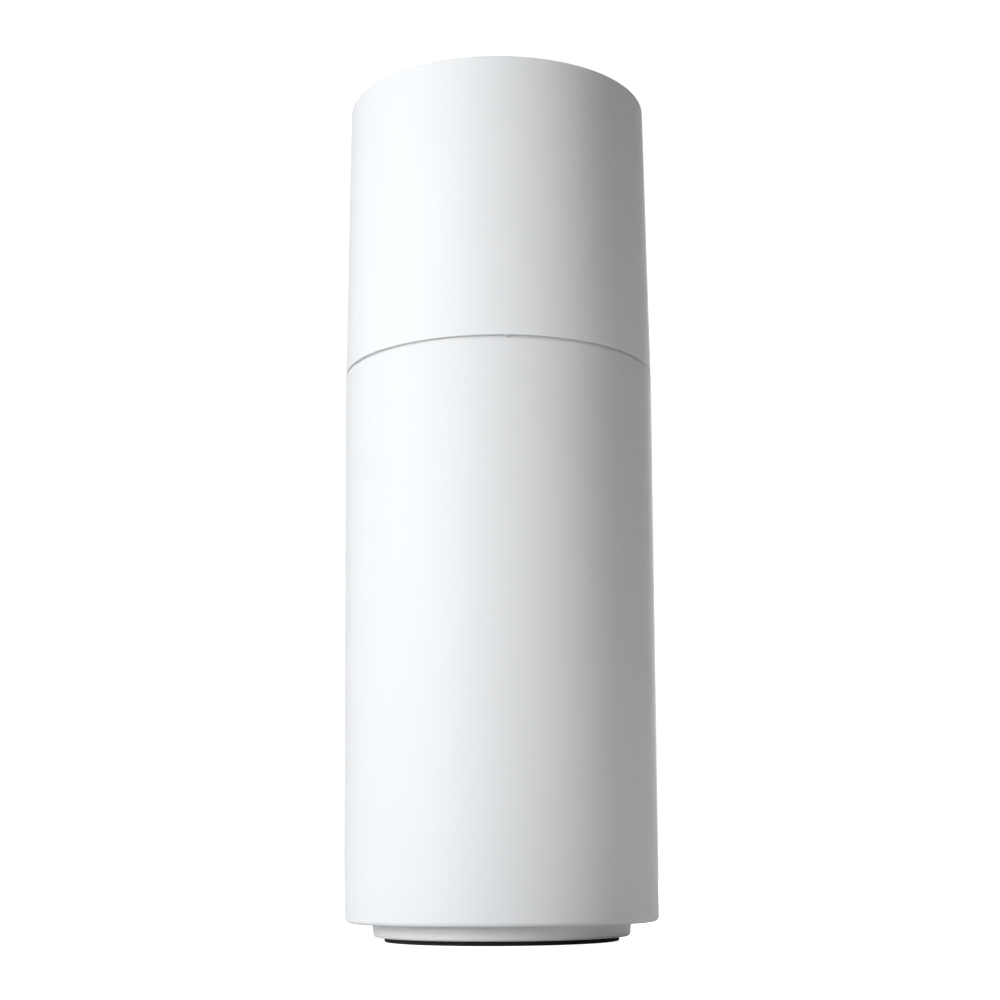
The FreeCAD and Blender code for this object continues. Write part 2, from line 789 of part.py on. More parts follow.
def stator_vanes():
    """Leaning vanes between an outer ring and the hub that holds the motor."""
    body = new_body("stator_vanes")
    turn(body, "vane_ring", rectangle("duct_inner", "duct_top", DUCT_OUTER, VANE_TOP))
    turn(body, "vane_hub", [
        ("tube_outer", "duct_top"),
        ("hub_outer", "duct_top"),
        ("hub_outer", VANE_TOP),
        (HUB_INNER, VANE_TOP),
        (HUB_INNER, "duct_top + hub_floor"),
        ("tube_outer", "duct_top + hub_floor"),
    ])
    sketch = new_sketch(body, "vane_outline", "YZ_Plane", f"{HUB_INNER} + vane_root")
    add_loop(sketch, [
        ("-vane_lean", "duct_top + vane_foot"),
        ("-vane_lean + vane_thick", "duct_top + vane_foot"),
        ("vane_bow * vane_lean + vane_thick", "duct_top + vane_height / 2"),
        ("vane_lean", f"{VANE_TOP} - vane_head"),
        ("vane_lean - vane_thick", f"{VANE_TOP} - vane_head"),
        ("vane_bow * vane_lean", "duct_top + vane_height / 2"),
    ])
    vane = extrude(body, sketch, "vane", f"{DUCT_OUTER} - ({HUB_INNER}) - 2 * vane_root")
    repeat(body, "vanes", [vane], "vane_count")
    screw = sink_circle(body, "motor_screw_hole", [("motor_screw_circle", "middle", "screw_hole")],
                        "duct_top + hub_floor", "hub_floor")
    repeat(body, "motor_screw_holes", [screw], "motor_screw_count")
    sink_circle(body, "lead_hole", [("-motor_lead_offset", "middle", "lead_hole")],
                "duct_top + hub_floor", "hub_floor")


def motor_mount():
    """A plate under the vane hub with the tube that holds the bearings."""
    body = new_body("motor_mount")
    turn(body, "mount_plate", [
        ("bearing_outer", "tube_bottom"),
        ("tube_outer", "tube_bottom"),
        ("tube_outer", "mount_bottom"),
        ("mount_radius", "mount_bottom"),
        ("mount_radius", "duct_top"),
        ("bearing_outer", "duct_top"),
    ])
    screw = sink_circle(body, "mount_screw_hole", [("motor_screw_circle", "middle", "screw_radius")],
                        "duct_top", "duct_top - mount_bottom")
    repeat(body, "mount_screw_holes", [screw], "motor_screw_count")
    sink_circle(body, "mount_lead_hole", [("-motor_lead_offset", "middle", "lead_hole")],
                "duct_top", "duct_top - mount_bottom")


def motor_core():
    """The laminated core: a ring with six T-shaped teeth."""
    body = new_body("motor_core")
    turn(body, "core_hub", rectangle("tube_outer", "core_bottom", "core_ring", "core_top"))
    length = "core_top - core_bottom"
    tooth = raise_loops(body, "tooth", [[
        ("core_ring - tooth_root", "-tooth_width / 2"),
        ("tooth_reach - tooth_tip", "-tooth_width / 2"),
        ("tooth_reach - tooth_tip", "-tooth_face / 2"),
        ("tooth_reach - tooth_tip / 2", "-tooth_face / 2"),
        ("tooth_reach", "-tooth_width / 2"),
        ("tooth_reach", "tooth_width / 2"),
        ("tooth_reach - tooth_tip / 2", "tooth_face / 2"),
        ("tooth_reach - tooth_tip", "tooth_face / 2"),
        ("tooth_reach - tooth_tip", "tooth_width / 2"),
        ("core_ring - tooth_root", "tooth_width / 2"),
    ]], "core_bottom", length)
    repeat(body, "teeth", [tooth], "tooth_count")


def motor_coils():
    """A square winding round each tooth."""
    body = new_body("motor_coils")
    sketch = new_sketch(body, "coil_section", "YZ_Plane", "core_ring + slip")
    inner = "tooth_width / 2 + slip"
    add_loop(sketch, bar(f"{inner} + coil_wall",
                         "core_bottom - slip - coil_wall", "core_top + slip + coil_wall"))
    add_loop(sketch, bar(inner, "core_bottom - slip", "core_top + slip"))
    coil = extrude(body, sketch, "coil", "coil_length")
    repeat(body, "coils", [coil], "tooth_count")


def motor_board():
    """The driver board under the motor's mounting plate."""
    body = new_body("motor_board")
    turn(body, "driver_disc", rectangle("tube_outer", "driver_bottom", "driver_radius",
                                        "driver_bottom + board_thick"))


def shaft_bearings():
    """Two small bearings in the motor's tube."""
    body = new_body("shaft_bearings")
    inner = "shaft_radius + shaft_fit"
    turn(body, "bearings",
         rectangle(inner, "lower_bearing", "bearing_outer", "lower_bearing + bearing_width"),
         rectangle(inner, "upper_bearing", "bearing_outer", "upper_bearing + bearing_width"))


def blade_section(body, name, offset, lean):
    """The section of one fan blade at a distance from the axis."""
    sketch = new_sketch(body, name, "YZ_Plane", offset)
    bottom = "fan_bottom + blade_foot"
    top = "fan_top - blade_head"
    add_loop(sketch, [
        (f"-{lean}", bottom),
        (f"-{lean} + blade_thick", bottom),
        (f"blade_bow * {lean} + blade_thick", "(fan_bottom + fan_top) / 2"),
        (f"{lean} + blade_thick", top),
        (lean, top),
        (f"blade_bow * {lean}", "(fan_bottom + fan_top) / 2"),
    ])
    return sketch


def impeller():
    """The fan wheel: a cup with a rounded nose and twisted blades."""
    body = new_body("impeller")
    turn(body, "hub_cup", [
        ("middle", "fan_bottom - fan_nose"),
        *[(f"fan_hub * {across}", f"fan_bottom - fan_nose * {down}") for across, down in NOSE],
        ("fan_hub", "fan_bottom + fan_nose / 2"),
        ("fan_hub", "fan_top"),
        ("fan_hub - fan_hub_wall", "fan_top"),
        ("fan_hub - fan_hub_wall", "can_bottom - slip"),
        ("middle", "can_bottom - slip"),
    ])
    root = blade_section(body, "blade_root", "fan_hub - past", "root_lean")
    tip = blade_section(body, "blade_end", "blade_end_offset", "tip_lean")
    blade = body.newObject("PartDesign::AdditiveLoft", "blade")
    blade.Profile = root
    blade.Sections = [tip]
    blade.Ruled = True
    repeat(body, "blades", [blade], "blade_count")


def rotor_can():
    """The steel cup pressed into the impeller's hub."""
    body = new_body("rotor_can")
    turn(body, "can_cup", [
        ("shaft_radius", "can_bottom"),
        ("can_outer", "can_bottom"),
        ("can_outer", "can_top"),
        ("can_outer - can_wall", "can_top"),
        ("can_outer - can_wall", "can_bottom + can_wall"),
        ("shaft_radius", "can_bottom + can_wall"),
    ])


def rotor_magnet():
    ring("rotor_magnet", "ring_magnet_inner", "can_outer - can_wall", "ring_magnet_bottom", "ring_magnet_top")


def motor_shaft():
    """The fan's shaft, with a groove for its clip."""
    body = new_body("motor_shaft")
    turn(body, "shaft_bar", rectangle("middle", "can_bottom", "shaft_radius", "shaft_top"))
    groove = turn(body, "clip_groove", rectangle("shaft_radius - gap", "clip_height", "shaft_radius + past",
                                                 "clip_height + clip_thick"), cut=True)
    body.Tip = groove


def shaft_clip():
    """The clip that holds the shaft in its bearings, with a slot at one side."""
    body = new_body("shaft_clip")
    turn(body, "clip_ring", rectangle("shaft_radius - gap", "clip_height", "clip_outer",
                                      "clip_height + clip_thick"))
    sketch = new_sketch(body, "clip_slot_outline", "XY_Plane", "clip_height + clip_thick")
    add_loop(sketch, rectangle("middle", "-shaft_radius + gap", "clip_outer + past", "shaft_radius - gap"))
    extrude(body, sketch, "clip_slot", "clip_thick", cut=True)


def upper_shell():
    """The casing of the head: a slightly tapered tube with a ledge for the grille and a nib at the seam."""
    body = new_body("upper_shell")
    inner_seam = "spigot_outer"
    ledge_bottom = "grille_ledge - ledge_thick"
    tube = turn(body, "head_tube", [
        (inner_seam, "seam_top"),
        ("seam_radius", "seam_top"),
        ("top_radius", "body_top"),
        (HEAD_INNER, "body_top"),
        (HEAD_INNER, "grille_ledge"),
        (f"{HEAD_INNER} - ledge_width", "grille_ledge"),
        (f"{HEAD_INNER} - ledge_width", ledge_bottom),
        (HEAD_INNER, ledge_bottom),
        (inner_seam, "spigot_top + past"),
        (inner_seam, "snap_bottom + snap_height + slip"),
        (f"{inner_seam} + snap_depth", "snap_bottom + snap_height + slip"),
        (f"{inner_seam} + snap_depth", "snap_bottom - slip"),
        (inner_seam, "snap_bottom - slip"),
    ])
    top = dress(body, "top_edge", tube, "top_radius", "body_top", "top_round")
    dress(body, "seam_edge", top, "seam_radius", "seam_top", "seam_edge")
    sketch = new_sketch(body, "inlet_slot_outline", "XZ_Plane", "-body_radius - past")
    half = "(inlet_width - inlet_thick) / 2"
    add_slot(sketch, half, "inlet_height", "inlet_thick / 2 + inlet_clear")
    extrude(body, sketch, "inlet_slot", "wall * 3", cut=True, down=True)
    nib_front, nib_back = "slip - seam_radius + seam_edge", "seam_recess - slip - body_radius"
    nib = raise_loops(body, "nib", [rectangle("nib_offset - nib_width / 2", nib_front,
                                              "nib_offset + nib_width / 2", nib_back)],
                      "seam_top - nib_drop", "nib_drop + slip")
    body.Tip = nib


def add_slot(sketch, half, height, radius):
    """A lying slot with round ends: its centres are at plus and minus half, at a height."""
    x = number(half)
    y = number(height)
    r = number(radius)
    normal = FreeCAD.Vector(0, 0, 1)
    right_circle = Part.Circle(FreeCAD.Vector(x, y, 0), normal, r)
    left_circle = Part.Circle(FreeCAD.Vector(-x, y, 0), normal, r)
    right = sketch.addGeometry(Part.ArcOfCircle(right_circle, -math.pi / 2, math.pi / 2), False)
    left = sketch.addGeometry(Part.ArcOfCircle(left_circle, math.pi / 2, 3 * math.pi / 2), False)
    top_line = Part.LineSegment(FreeCAD.Vector(x, y + r, 0), FreeCAD.Vector(-x, y + r, 0))
    low_line = Part.LineSegment(FreeCAD.Vector(-x, y - r, 0), FreeCAD.Vector(x, y - r, 0))
    top = sketch.addGeometry(top_line, False)
    low = sketch.addGeometry(low_line, False)
    for first, first_end, second, second_end in ((right, 2, top, 1), (top, 2, left, 1),
                                                 (left, 2, low, 1), (low, 2, right, 1)):
        sketch.addConstraint(Sketcher.Constraint("Tangent", first, first_end, second, second_end))
    pin_point(sketch, right, 3, half, height)
    pin_point(sketch, left, 3, f"-{half}", height)
    place = sketch.addConstraint(Sketcher.Constraint("Radius", right, r))
    sketch.setExpression(f"Constraints[{place}]", bound(radius))


def outlet_grille():
    """Radial fins between a hub ring and a rim, tied by two rings."""
    body = new_body("outlet_grille")
    rim = f"{HEAD_INNER} - slip"
    loops = [
        rectangle(f"{rim} - outlet_rim", "grille_ledge", rim, "outlet_top"),
        [
            ("panel_radius - panel_seat", "grille_ledge"),
            ("outlet_hub", "grille_ledge"),
            ("outlet_hub", "outlet_top"),
            ("panel_radius + slip", "outlet_top"),
            ("panel_radius + slip", "panel_top - panel_thick"),
            ("panel_radius - panel_seat", "panel_top - panel_thick"),
        ],
    ]
    for index in range(int(SIZES["fin_ring_count"])):
        inner = f"fin_ring_first + {index} * fin_ring_pitch"
        loops.append(rectangle(inner, "grille_ledge + fin_ring_lift", f"{inner} + fin_thick",
                               "outlet_top - fin_ring_drop"))
    turn(body, "grille_rings", *loops)
    fin = raise_loops(body, "fin", [rectangle("outlet_hub - fin_ring_drop", "-fin_thick / 2",
                                              f"{rim} - outlet_rim / 2", "fin_thick / 2")],
                      "grille_ledge", "outlet_top - grille_ledge - fin_drop")
    repeat(body, "fins", [fin], "fin_count")


def control_pod():
    """The tube between the vane hub and the control panel, with a hole for the power lead."""
    body = new_body("control_pod")
    turn(body, "pod_tube", [
        (HUB_INNER, VANE_TOP),
        ("hub_outer", VANE_TOP),
        ("hub_outer", "grille_ledge"),
        (HUB_INNER, "grille_ledge"),
        (HUB_INNER, "board_bottom"),
        ("board_radius - board_ledge", "board_bottom"),
        (HUB_INNER, "board_bottom - board_ledge_slope"),
    ])
    sketch = new_sketch(body, "pod_lead_circle", "XZ_Plane", "-hub_outer - 2 * past")
    add_circle(sketch, "lead_offset", "lead_cross", "lead_radius + gap")
    hole = extrude(body, sketch, "pod_lead_hole", "hub_outer", cut=True, down=True)
    body.Tip = hole


def control_board():
    ring("control_board", "middle", "board_radius", "board_bottom", BOARD_TOP)


def board_components():
    """Lamps under the light ring, a processor and two lead sockets."""
    body = new_body("board_components")
    lamp_circle = "(light_inner + light_outer) / 2"
    lamp = raise_loops(body, "lamp", [rectangle(f"{lamp_circle} - lamp_half", "-lamp_half_length",
                                               f"{lamp_circle} + lamp_half", "lamp_half_length")],
                       BOARD_TOP, "lamp_height")
    repeat(body, "lamps", [lamp], "lamp_count")
    sketch = new_sketch(body, "under_outlines", "XY_Plane", "board_bottom")
    add_loop(sketch, rectangle("-processor_half", "-processor_front", "processor_half",
                               "2 * processor_half - processor_front"))
    add_loop(sketch, rectangle("lead_offset - plug_half", "power_plug_inner", "lead_offset + plug_half",
                               "power_plug_outer"))
    add_loop(sketch, rectangle("-motor_plug_outer", "-plug_half", "-motor_plug_inner", "plug_half"))
    extrude(body, sketch, "under_parts", "under_height", down=True)


def tact_switch():
    """A square switch with a round plunger, under the button's stem."""
    body = new_body("tact_switch")
    raise_loops(body, "switch_box", [rectangle("-switch_half", "-switch_half", "switch_half", "switch_half")],
                BOARD_TOP, "switch_height")


def control_panel():
    """The disc in the middle of the outlet grille, with the button's hole and the light's groove."""
    body = new_body("control_panel")
    bottom = "panel_top - panel_thick"
    groove = "panel_top - light_depth"
    turn(body, "panel_disc", [
        ("button_hole", bottom),
        ("panel_radius", bottom),
        ("panel_radius", "panel_top"),
        ("light_outer", "panel_top"),
        ("light_outer", groove),
        ("light_inner", groove),
        ("light_inner", "panel_top"),
        ("button_hole", "panel_top"),
    ])


def light_ring():
    ring("light_ring", "light_inner", "light_outer", "panel_top - light_depth", "panel_top")


def power_button():
    """The button on top: a domed cap, a flange that stops it, and a stem over the switch."""
    body = new_body("power_button")
    turn(body, "button_cap", [
        ("middle", "button_stem_bottom"),
        ("button_stem", "button_stem_bottom"),
        ("button_stem", "button_flange_top - button_flange_thick"),
        ("button_flange", "button_flange_top - button_flange_thick"),
        ("button_flange", "button_flange_top"),
        ("button_radius", "button_flange_top"),
        ("button_radius", "button_top - button_edge"),
        ("button_radius - button_edge", "button_top"),
        ("middle", "button_top - button_dish"),
    ])


def button_spring():
    """A coil between the board and the button's flange."""
    body = new_body("button_spring")
    sketch = new_sketch(body, "spring_wire_section", "XZ_Plane")
    add_circle(sketch, "spring_radius", f"{BOARD_TOP} + spring_wire", "spring_wire")
    helix = body.newObject("PartDesign::AdditiveHelix", "spring_coil")
    helix.Profile = sketch
    helix.ReferenceAxis = (sketch, ["V_Axis"])
    helix.Mode = "height-turns-angle"
    height = f"button_flange_top - button_flange_thick - ({BOARD_TOP}) - 2 * spring_wire"
    helix.setExpression("Height", bound(height))
    helix.setExpression("Turns", bound("spring_turns"))


def inlet_socket():
    """The metal shell of the power inlet, open at the back of the head."""
    body = new_body("inlet_socket")
    sketch = new_sketch(body, "socket_outline", "XZ_Plane", "-inlet_front")
    half = "(inlet_width - inlet_thick) / 2"
    add_slot(sketch, half, "inlet_height", "inlet_thick / 2")
    extrude(body, sketch, "socket_shell", "inlet_front - inlet_back")
    inner = new_sketch(body, "socket_hollow_outline", "XZ_Plane", "-inlet_front")
    add_slot(inner, half, "inlet_height", "inlet_thick / 2 - inlet_metal")
    hollow = extrude(body, inner, "socket_hollow", "inlet_front - inlet_back - inlet_end_wall",
                     cut=True, down=True)
    body.Tip = hollow


def inlet_tongue():
    """The contact tongue inside the power inlet."""
    body = new_body("inlet_tongue")
    sketch = new_sketch(body, "tongue_outline", "XZ_Plane", "-inlet_front + tongue_recess")
    add_loop(sketch, bar("tongue_width / 2",
                         "inlet_height - tongue_thick / 2", "inlet_height + tongue_thick / 2"))
    extrude(body, sketch, "tongue", "inlet_front - inlet_back - tongue_recess - inlet_end_wall")


def inlet_board():
    """The small board that carries the power inlet."""
    body = new_body("inlet_board")
    raise_loops(body, "inlet_board_plate", [bar("inlet_board_half", "inlet_board_back", "inlet_board_front")],
                "inlet_height - inlet_thick / 2 - board_thick", "board_thick")


def inlet_bracket():
    """The post on the duct's flange that carries the inlet board."""
    body = new_body("inlet_bracket")
    bottom = f"{LAND_TOP} + duct_flange"
    base = bar("bracket_half", "inlet_board_back", "inlet_board_back + bracket_depth")
    raise_loops(body, "bracket_block", [base],
                bottom, f"inlet_height - inlet_thick / 2 - board_thick - ({bottom})")


def lead_path(points, bend):
    """Straight runs through points, joined by tangent arcs of one radius."""
    edges = []
    start = points[0]
    for before, corner, after in zip(points, points[1:], points[2:]):
        into = (corner - before).normalize()
        out = (after - corner).normalize()
        cut = bend * math.tan(into.getAngle(out) / 2)
        arc_start = corner - into * cut
        arc_end = corner + out * cut
        toward = (out - into).normalize()
        centre = corner + toward * math.hypot(bend, cut)
        middle = centre - toward * bend
        edges.append(Part.LineSegment(start, arc_start).toShape())
        edges.append(Part.Arc(arc_start, middle, arc_end).toShape())
        start = arc_end
    edges.append(Part.LineSegment(start, points[-1]).toShape())
    return Part.Wire(edges)


def lead(label, points, bend):
    """A round lead along a path, with its volume compared with section times length."""
    path = lead_path(points, bend)
    radius = number("lead_radius")
    direction = points[1] - points[0]
    section = Part.Wire(Part.makeCircle(radius, points[0], direction))
    shape = path.makePipeShell([section], True, False)
    expected = math.pi * radius ** 2 * path.Length
    if abs(shape.Volume - expected) > TOLERANCE * expected:
        raise ValueError(f"{label} has the wrong volume")
    feature = doc.addObject("Part::Feature", label)
    feature.Label = label
    feature.Shape = shape
    feature.Placement = FreeCAD.Placement()


def power_lead():
    """From the inlet's board up behind the duct, across to the pod and up to the control board."""
    x = number("lead_offset")
    back = number("lead_back")
    inner = number("lead_inner")
    cross = number("lead_cross")
    start = number("inlet_height - inlet_thick / 2")
    end = number("board_bottom - under_height")
    points = [
        FreeCAD.Vector(x, back, start),
        FreeCAD.Vector(x, back, cross),
        FreeCAD.Vector(x, inner, cross),
        FreeCAD.Vector(x, inner, end),
    ]
    lead("power_lead", points, number("lead_bend"))


def motor_lead():
    """Straight up from the motor's board to the control board."""
    body = new_body("motor_lead")
    bottom = "driver_bottom + board_thick"
    raise_circle(body, "motor_lead_bar", [("-motor_lead_offset", "middle", "motor_lead_radius")],
                 bottom, f"board_bottom - under_height - ({bottom})")


def build():
    """Every sub-part, from the foot upwards."""
    foot_pad()
    plinth()
    base_weight()
    intake_grille()
    lower_shell()
    filter_seat()
    seat_ring()
    screws("plinth_screws", "post_circle", "foot_height + gap / 2", "grille_bottom + plinth_screw_bite",
           "fastener_count", head_down=True)
    screws("grille_screws", "lug_circle",
           "grille_bottom - screw_head_height", f"{GRILLE_TOP} + grille_screw_bite",
           "fastener_count", head_down=True)
    magnets("base_magnets", f"{GASKET_TOP} - magnet_height")
    filter_bottom_cap()
    filter_media()
    carbon_sleeve()
    filter_core()
    prefilter_net()
    filter_top_cap()
    filter_gasket()
    filter_handle()
    head_base()
    magnets("head_magnets", "head_bottom")
    screws("duct_screws", "duct_screw_circle",
           "head_bottom + slip", f"{LAND_TOP} + duct_flange + duct_screw_bite",
           "fastener_count", head_down=True, turn_by=45)
    fan_duct()
    inlet_guard()
    stator_vanes()
    motor_mount()
    screws("motor_screws", "motor_screw_circle", "duct_top + hub_floor + screw_head_height",
           "mount_bottom", "motor_screw_count", head_down=False)
    motor_core()
    motor_coils()
    motor_board()
    shaft_bearings()
    impeller()
    rotor_can()
    rotor_magnet()
    motor_shaft()
    shaft_clip()
    upper_shell()
    outlet_grille()
    control_pod()
    control_board()
    board_components()
    tact_switch()
    control_panel()
    light_ring()
    power_button()
    button_spring()
    inlet_socket()
    inlet_tongue()
    inlet_board()
    inlet_bracket()
    power_lead()
    motor_lead()


def write_parts():
    """Check every object, then write each sub-part to its own file."""
    doc.recompute()
    for item in doc.Objects:
        if "Invalid" in item.State or "Error" in item.State:
            raise ValueError(f"{item.Name} is {item.State}")
    os.makedirs("parts", exist_ok=True)
    nodes = [item for item in doc.Objects if item.TypeId in ("PartDesign::Body", "Part::Feature")]
    for node in nodes:
        if node.Shape.isNull() or not node.Shape.isValid():
            raise ValueError(f"{node.Label} has no valid shape")
        node.Shape.exportStep(f"parts/{node.Label}.step")
        print(f"{node.Label:20} {len(node.Shape.Solids):3} solids {node.Shape.Volume:10.1f} mm3")


build()
write_parts()
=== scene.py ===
"""Looks of a cylindrical desktop air purifier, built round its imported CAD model.

Metres, +Z up. The front is -Y. The camera stands low, close to the table, and looks up.
"""
import math
import random
import bmesh
import bpy
from mathutils import Euler, Matrix, Vector

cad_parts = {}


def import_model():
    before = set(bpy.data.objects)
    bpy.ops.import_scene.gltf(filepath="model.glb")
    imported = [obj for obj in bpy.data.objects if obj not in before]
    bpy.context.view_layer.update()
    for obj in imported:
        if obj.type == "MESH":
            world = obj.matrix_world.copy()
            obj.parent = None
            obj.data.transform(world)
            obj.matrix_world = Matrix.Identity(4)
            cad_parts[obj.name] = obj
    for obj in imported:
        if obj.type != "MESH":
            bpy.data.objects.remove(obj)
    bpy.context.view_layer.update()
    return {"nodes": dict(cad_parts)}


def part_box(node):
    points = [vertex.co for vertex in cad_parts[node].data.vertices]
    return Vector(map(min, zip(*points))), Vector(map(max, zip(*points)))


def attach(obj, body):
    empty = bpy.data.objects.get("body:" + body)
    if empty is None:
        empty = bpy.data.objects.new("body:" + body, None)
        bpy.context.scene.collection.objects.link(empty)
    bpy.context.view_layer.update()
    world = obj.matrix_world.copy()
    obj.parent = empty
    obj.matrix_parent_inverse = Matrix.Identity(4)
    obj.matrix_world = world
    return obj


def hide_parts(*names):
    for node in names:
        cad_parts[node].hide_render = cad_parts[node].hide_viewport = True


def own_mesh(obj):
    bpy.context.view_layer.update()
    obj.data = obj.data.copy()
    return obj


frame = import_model()

MM = 0.001
SEED = 7

SHELL_LOW, SHELL_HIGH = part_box("lower_shell")
HEAD_LOW, HEAD_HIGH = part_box("upper_shell")
WALL = 2.0 * MM

# outer radii of the casings, which widen towards the seam between them
BODY_RADIUS = SHELL_HIGH.x
BOTTOM_RADIUS = BODY_RADIUS - 1.5 * MM
SEAM_RADIUS = BODY_RADIUS - 0.1 * MM
TOP_RADIUS = BODY_RADIUS - 1.1 * MM
SPIGOT_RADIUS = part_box("head_base")[1].x - 0.5 * MM
SEAM_TOP = SHELL_HIGH.z + 1.2 * MM

# the camera: metres, degrees, and millimetres for its lens
CAMERA_DISTANCE = 0.6363
CAMERA_HEIGHT = 0.0283
CAMERA_PITCH = 11.309
CAMERA_YAW = -0.024
CAMERA_ROLL = -0.347
CAMERA_LENS = 64.30


# ---------------------------------------------------------------- shader nodes

def add(tree, kind, inputs=None, **settings):
    """A shader node with its settings, and its inputs set or linked."""
    made = tree.nodes.new(kind)
    for name, value in settings.items():
        setattr(made, name, value)
    for key, value in (inputs or {}).items():
        if isinstance(value, bpy.types.NodeSocket):
            tree.links.new(value, made.inputs[key])
        else:
            made.inputs[key].default_value = value
    return made


def place(tree):
    """Positions in metres in the object's own frame."""
    return add(tree, "ShaderNodeTexCoord").outputs["Object"]


def stretched(tree, scale):
    """Positions stretched along the axes."""
    mapping = add(tree, "ShaderNodeMapping", {"Vector": place(tree), "Scale": scale})
    return mapping.outputs["Vector"]


def noise(tree, scale, detail=2.0, vector=None):
    """Noise between 0 and 1. The scale is in cells a metre."""
    made = add(tree, "ShaderNodeTexNoise", {"Scale": scale, "Detail": detail})
    tree.links.new(vector or place(tree), made.inputs["Vector"])
    return made.outputs["Fac"]


def spread(tree, value, low, high, start=0.25, end=0.75):
    """A value brought from start..end to low..high."""
    made = add(tree, "ShaderNodeMapRange", {
        "Value": value, "From Min": start, "From Max": end, "To Min": low, "To Max": high})
    return made.outputs["Result"]


def blend_colours(tree, share, first, second):
    """A colour between two, by a share from 0 to 1."""
    made = add(tree, "ShaderNodeMix", data_type="RGBA")
    for socket, value in ((made.inputs[0], share), (made.inputs[6], first), (made.inputs[7], second)):
        if isinstance(value, bpy.types.NodeSocket):
            tree.links.new(value, socket)
        elif isinstance(value, tuple):
            socket.default_value = (*value, 1.0)
        else:
            socket.default_value = value
    return made.outputs[2]


def bumped(tree, height, depth, below=None):
    """A normal from a height between 0 and 1. The depth is in metres."""
    inputs = {"Height": height, "Distance": depth, "Strength": 1.0}
    if below is not None:
        inputs["Normal"] = below
    return add(tree, "ShaderNodeBump", inputs).outputs["Normal"]


def scaled(colour, factor):
    """A colour made lighter or darker."""
    return tuple(min(1.0, channel * factor) for channel in colour)


def new_material(name, **surface):
    """A material with one Principled shader. Keyword names are its sockets, with _ for a space."""
    material = bpy.data.materials.new(name)
    material.use_nodes = True
    tree = material.node_tree
    tree.nodes.clear()
    shader = tree.nodes.new("ShaderNodeBsdfPrincipled")
    output = tree.nodes.new("ShaderNodeOutputMaterial")
    tree.links.new(shader.outputs["BSDF"], output.inputs["Surface"])
    for key, value in surface.items():
        shader.inputs[key.replace("_", " ")].default_value = value
    return material, tree, shader


def wire(tree, shader, colour=None, roughness=None, normal=None):
    """Link what drives a shader."""
    for socket, source in (("Base Color", colour), ("Roughness", roughness), ("Normal", normal)):
        if source is not None:
            tree.links.new(source, shader.inputs[socket])


# ---------------------------------------------------------------- materials

def moulded(name, colour, roughness, grain=0.25 * MM, depth=0.006 * MM, change=0.02, **surface):
    """Moulded plastic: a fine spark-eroded grain, slow changes of tone and uneven gloss."""
    material, tree, shader = new_material(name, **surface)
    tone = noise(tree, 22.0, 3.0)
    colour_out = blend_colours(tree, tone, scaled(colour, 1 - change), scaled(colour, 1 + change))
    gloss = spread(tree, noise(tree, 180.0, 4.0), roughness - 0.04, roughness + 0.04)
    grains = noise(tree, 1 / grain, 3.0)
    wire(tree, shader, colour_out, gloss, bumped(tree, grains, depth))
    return material


def casing_white():
    """Satin white casing plastic with a few dust specks and faint rub marks."""
    colour = (0.86, 0.872, 0.885)
    material, tree, shader = new_material("casing_white", Specular_IOR_Level=0.36)
    tone = noise(tree, 14.0, 3.0)
    clean = blend_colours(tree, tone, scaled(colour, 0.992), scaled(colour, 1.008))
    speck_size, cells_with_one, speck_strength = 0.022, 0.06, 0.35
    cells = add(tree, "ShaderNodeTexVoronoi", {"Vector": place(tree), "Scale": 95.0})
    near = add(tree, "ShaderNodeMath", {0: cells.outputs["Distance"], 1: speck_size}, operation="LESS_THAN")
    rare = add(tree, "ShaderNodeSeparateColor", {"Color": cells.outputs["Color"]})
    chosen = add(tree, "ShaderNodeMath", {0: rare.outputs["Red"], 1: cells_with_one}, operation="LESS_THAN")
    speck = add(tree, "ShaderNodeMath", {0: near.outputs[0], 1: chosen.outputs[0]}, operation="MULTIPLY")
    share = add(tree, "ShaderNodeMath", {0: speck.outputs[0], 1: speck_strength}, operation="MULTIPLY")
    dusty = blend_colours(tree, share.outputs[0], clean, (0.30, 0.27, 0.24))
    rubbed = noise(tree, 60.0, 5.0, stretched(tree, (1.0, 1.0, 0.25)))
    gloss = spread(tree, rubbed, 0.56, 0.65)
    grains = noise(tree, 5200.0, 2.0)
    waves = noise(tree, 30.0, 1.0)
    normal = bumped(tree, grains, 0.004 * MM, bumped(tree, waves, 0.02 * MM))
    wire(tree, shader, dusty, gloss, normal)
    return material


def foam_black():
    """Dense black foam rubber with open pores."""
    material, tree, shader = new_material("foam_black", Specular_IOR_Level=0.3)
    cells = add(tree, "ShaderNodeTexVoronoi", {"Vector": place(tree), "Scale": 2600.0})
    pores = spread(tree, cells.outputs["Distance"], 0.0, 1.0, 0.05, 0.5)
    colour = blend_colours(tree, noise(tree, 300.0, 4.0), (0.010, 0.010, 0.011), (0.026, 0.026, 0.027))
    gloss = spread(tree, noise(tree, 900.0), 0.75, 0.95)
    wire(tree, shader, colour, gloss, bumped(tree, pores, 0.05 * MM))
    return material


def metal(name, colour, roughness, brushed=(1.0, 1.0, 1.0), change=0.06, depth=0.008 * MM):
    """Bare or plated metal with fine marks along one direction."""
    material, tree, shader = new_material(name, Metallic=1.0)
    marks = noise(tree, 900.0, 4.0, stretched(tree, brushed))
    stains = noise(tree, 70.0, 4.0)
    colour_out = blend_colours(tree, stains, scaled(colour, 1 - change), scaled(colour, 1 + change))
    gloss = spread(tree, marks, roughness - 0.08, roughness + 0.10)
    wire(tree, shader, colour_out, gloss, bumped(tree, marks, depth))
    return material


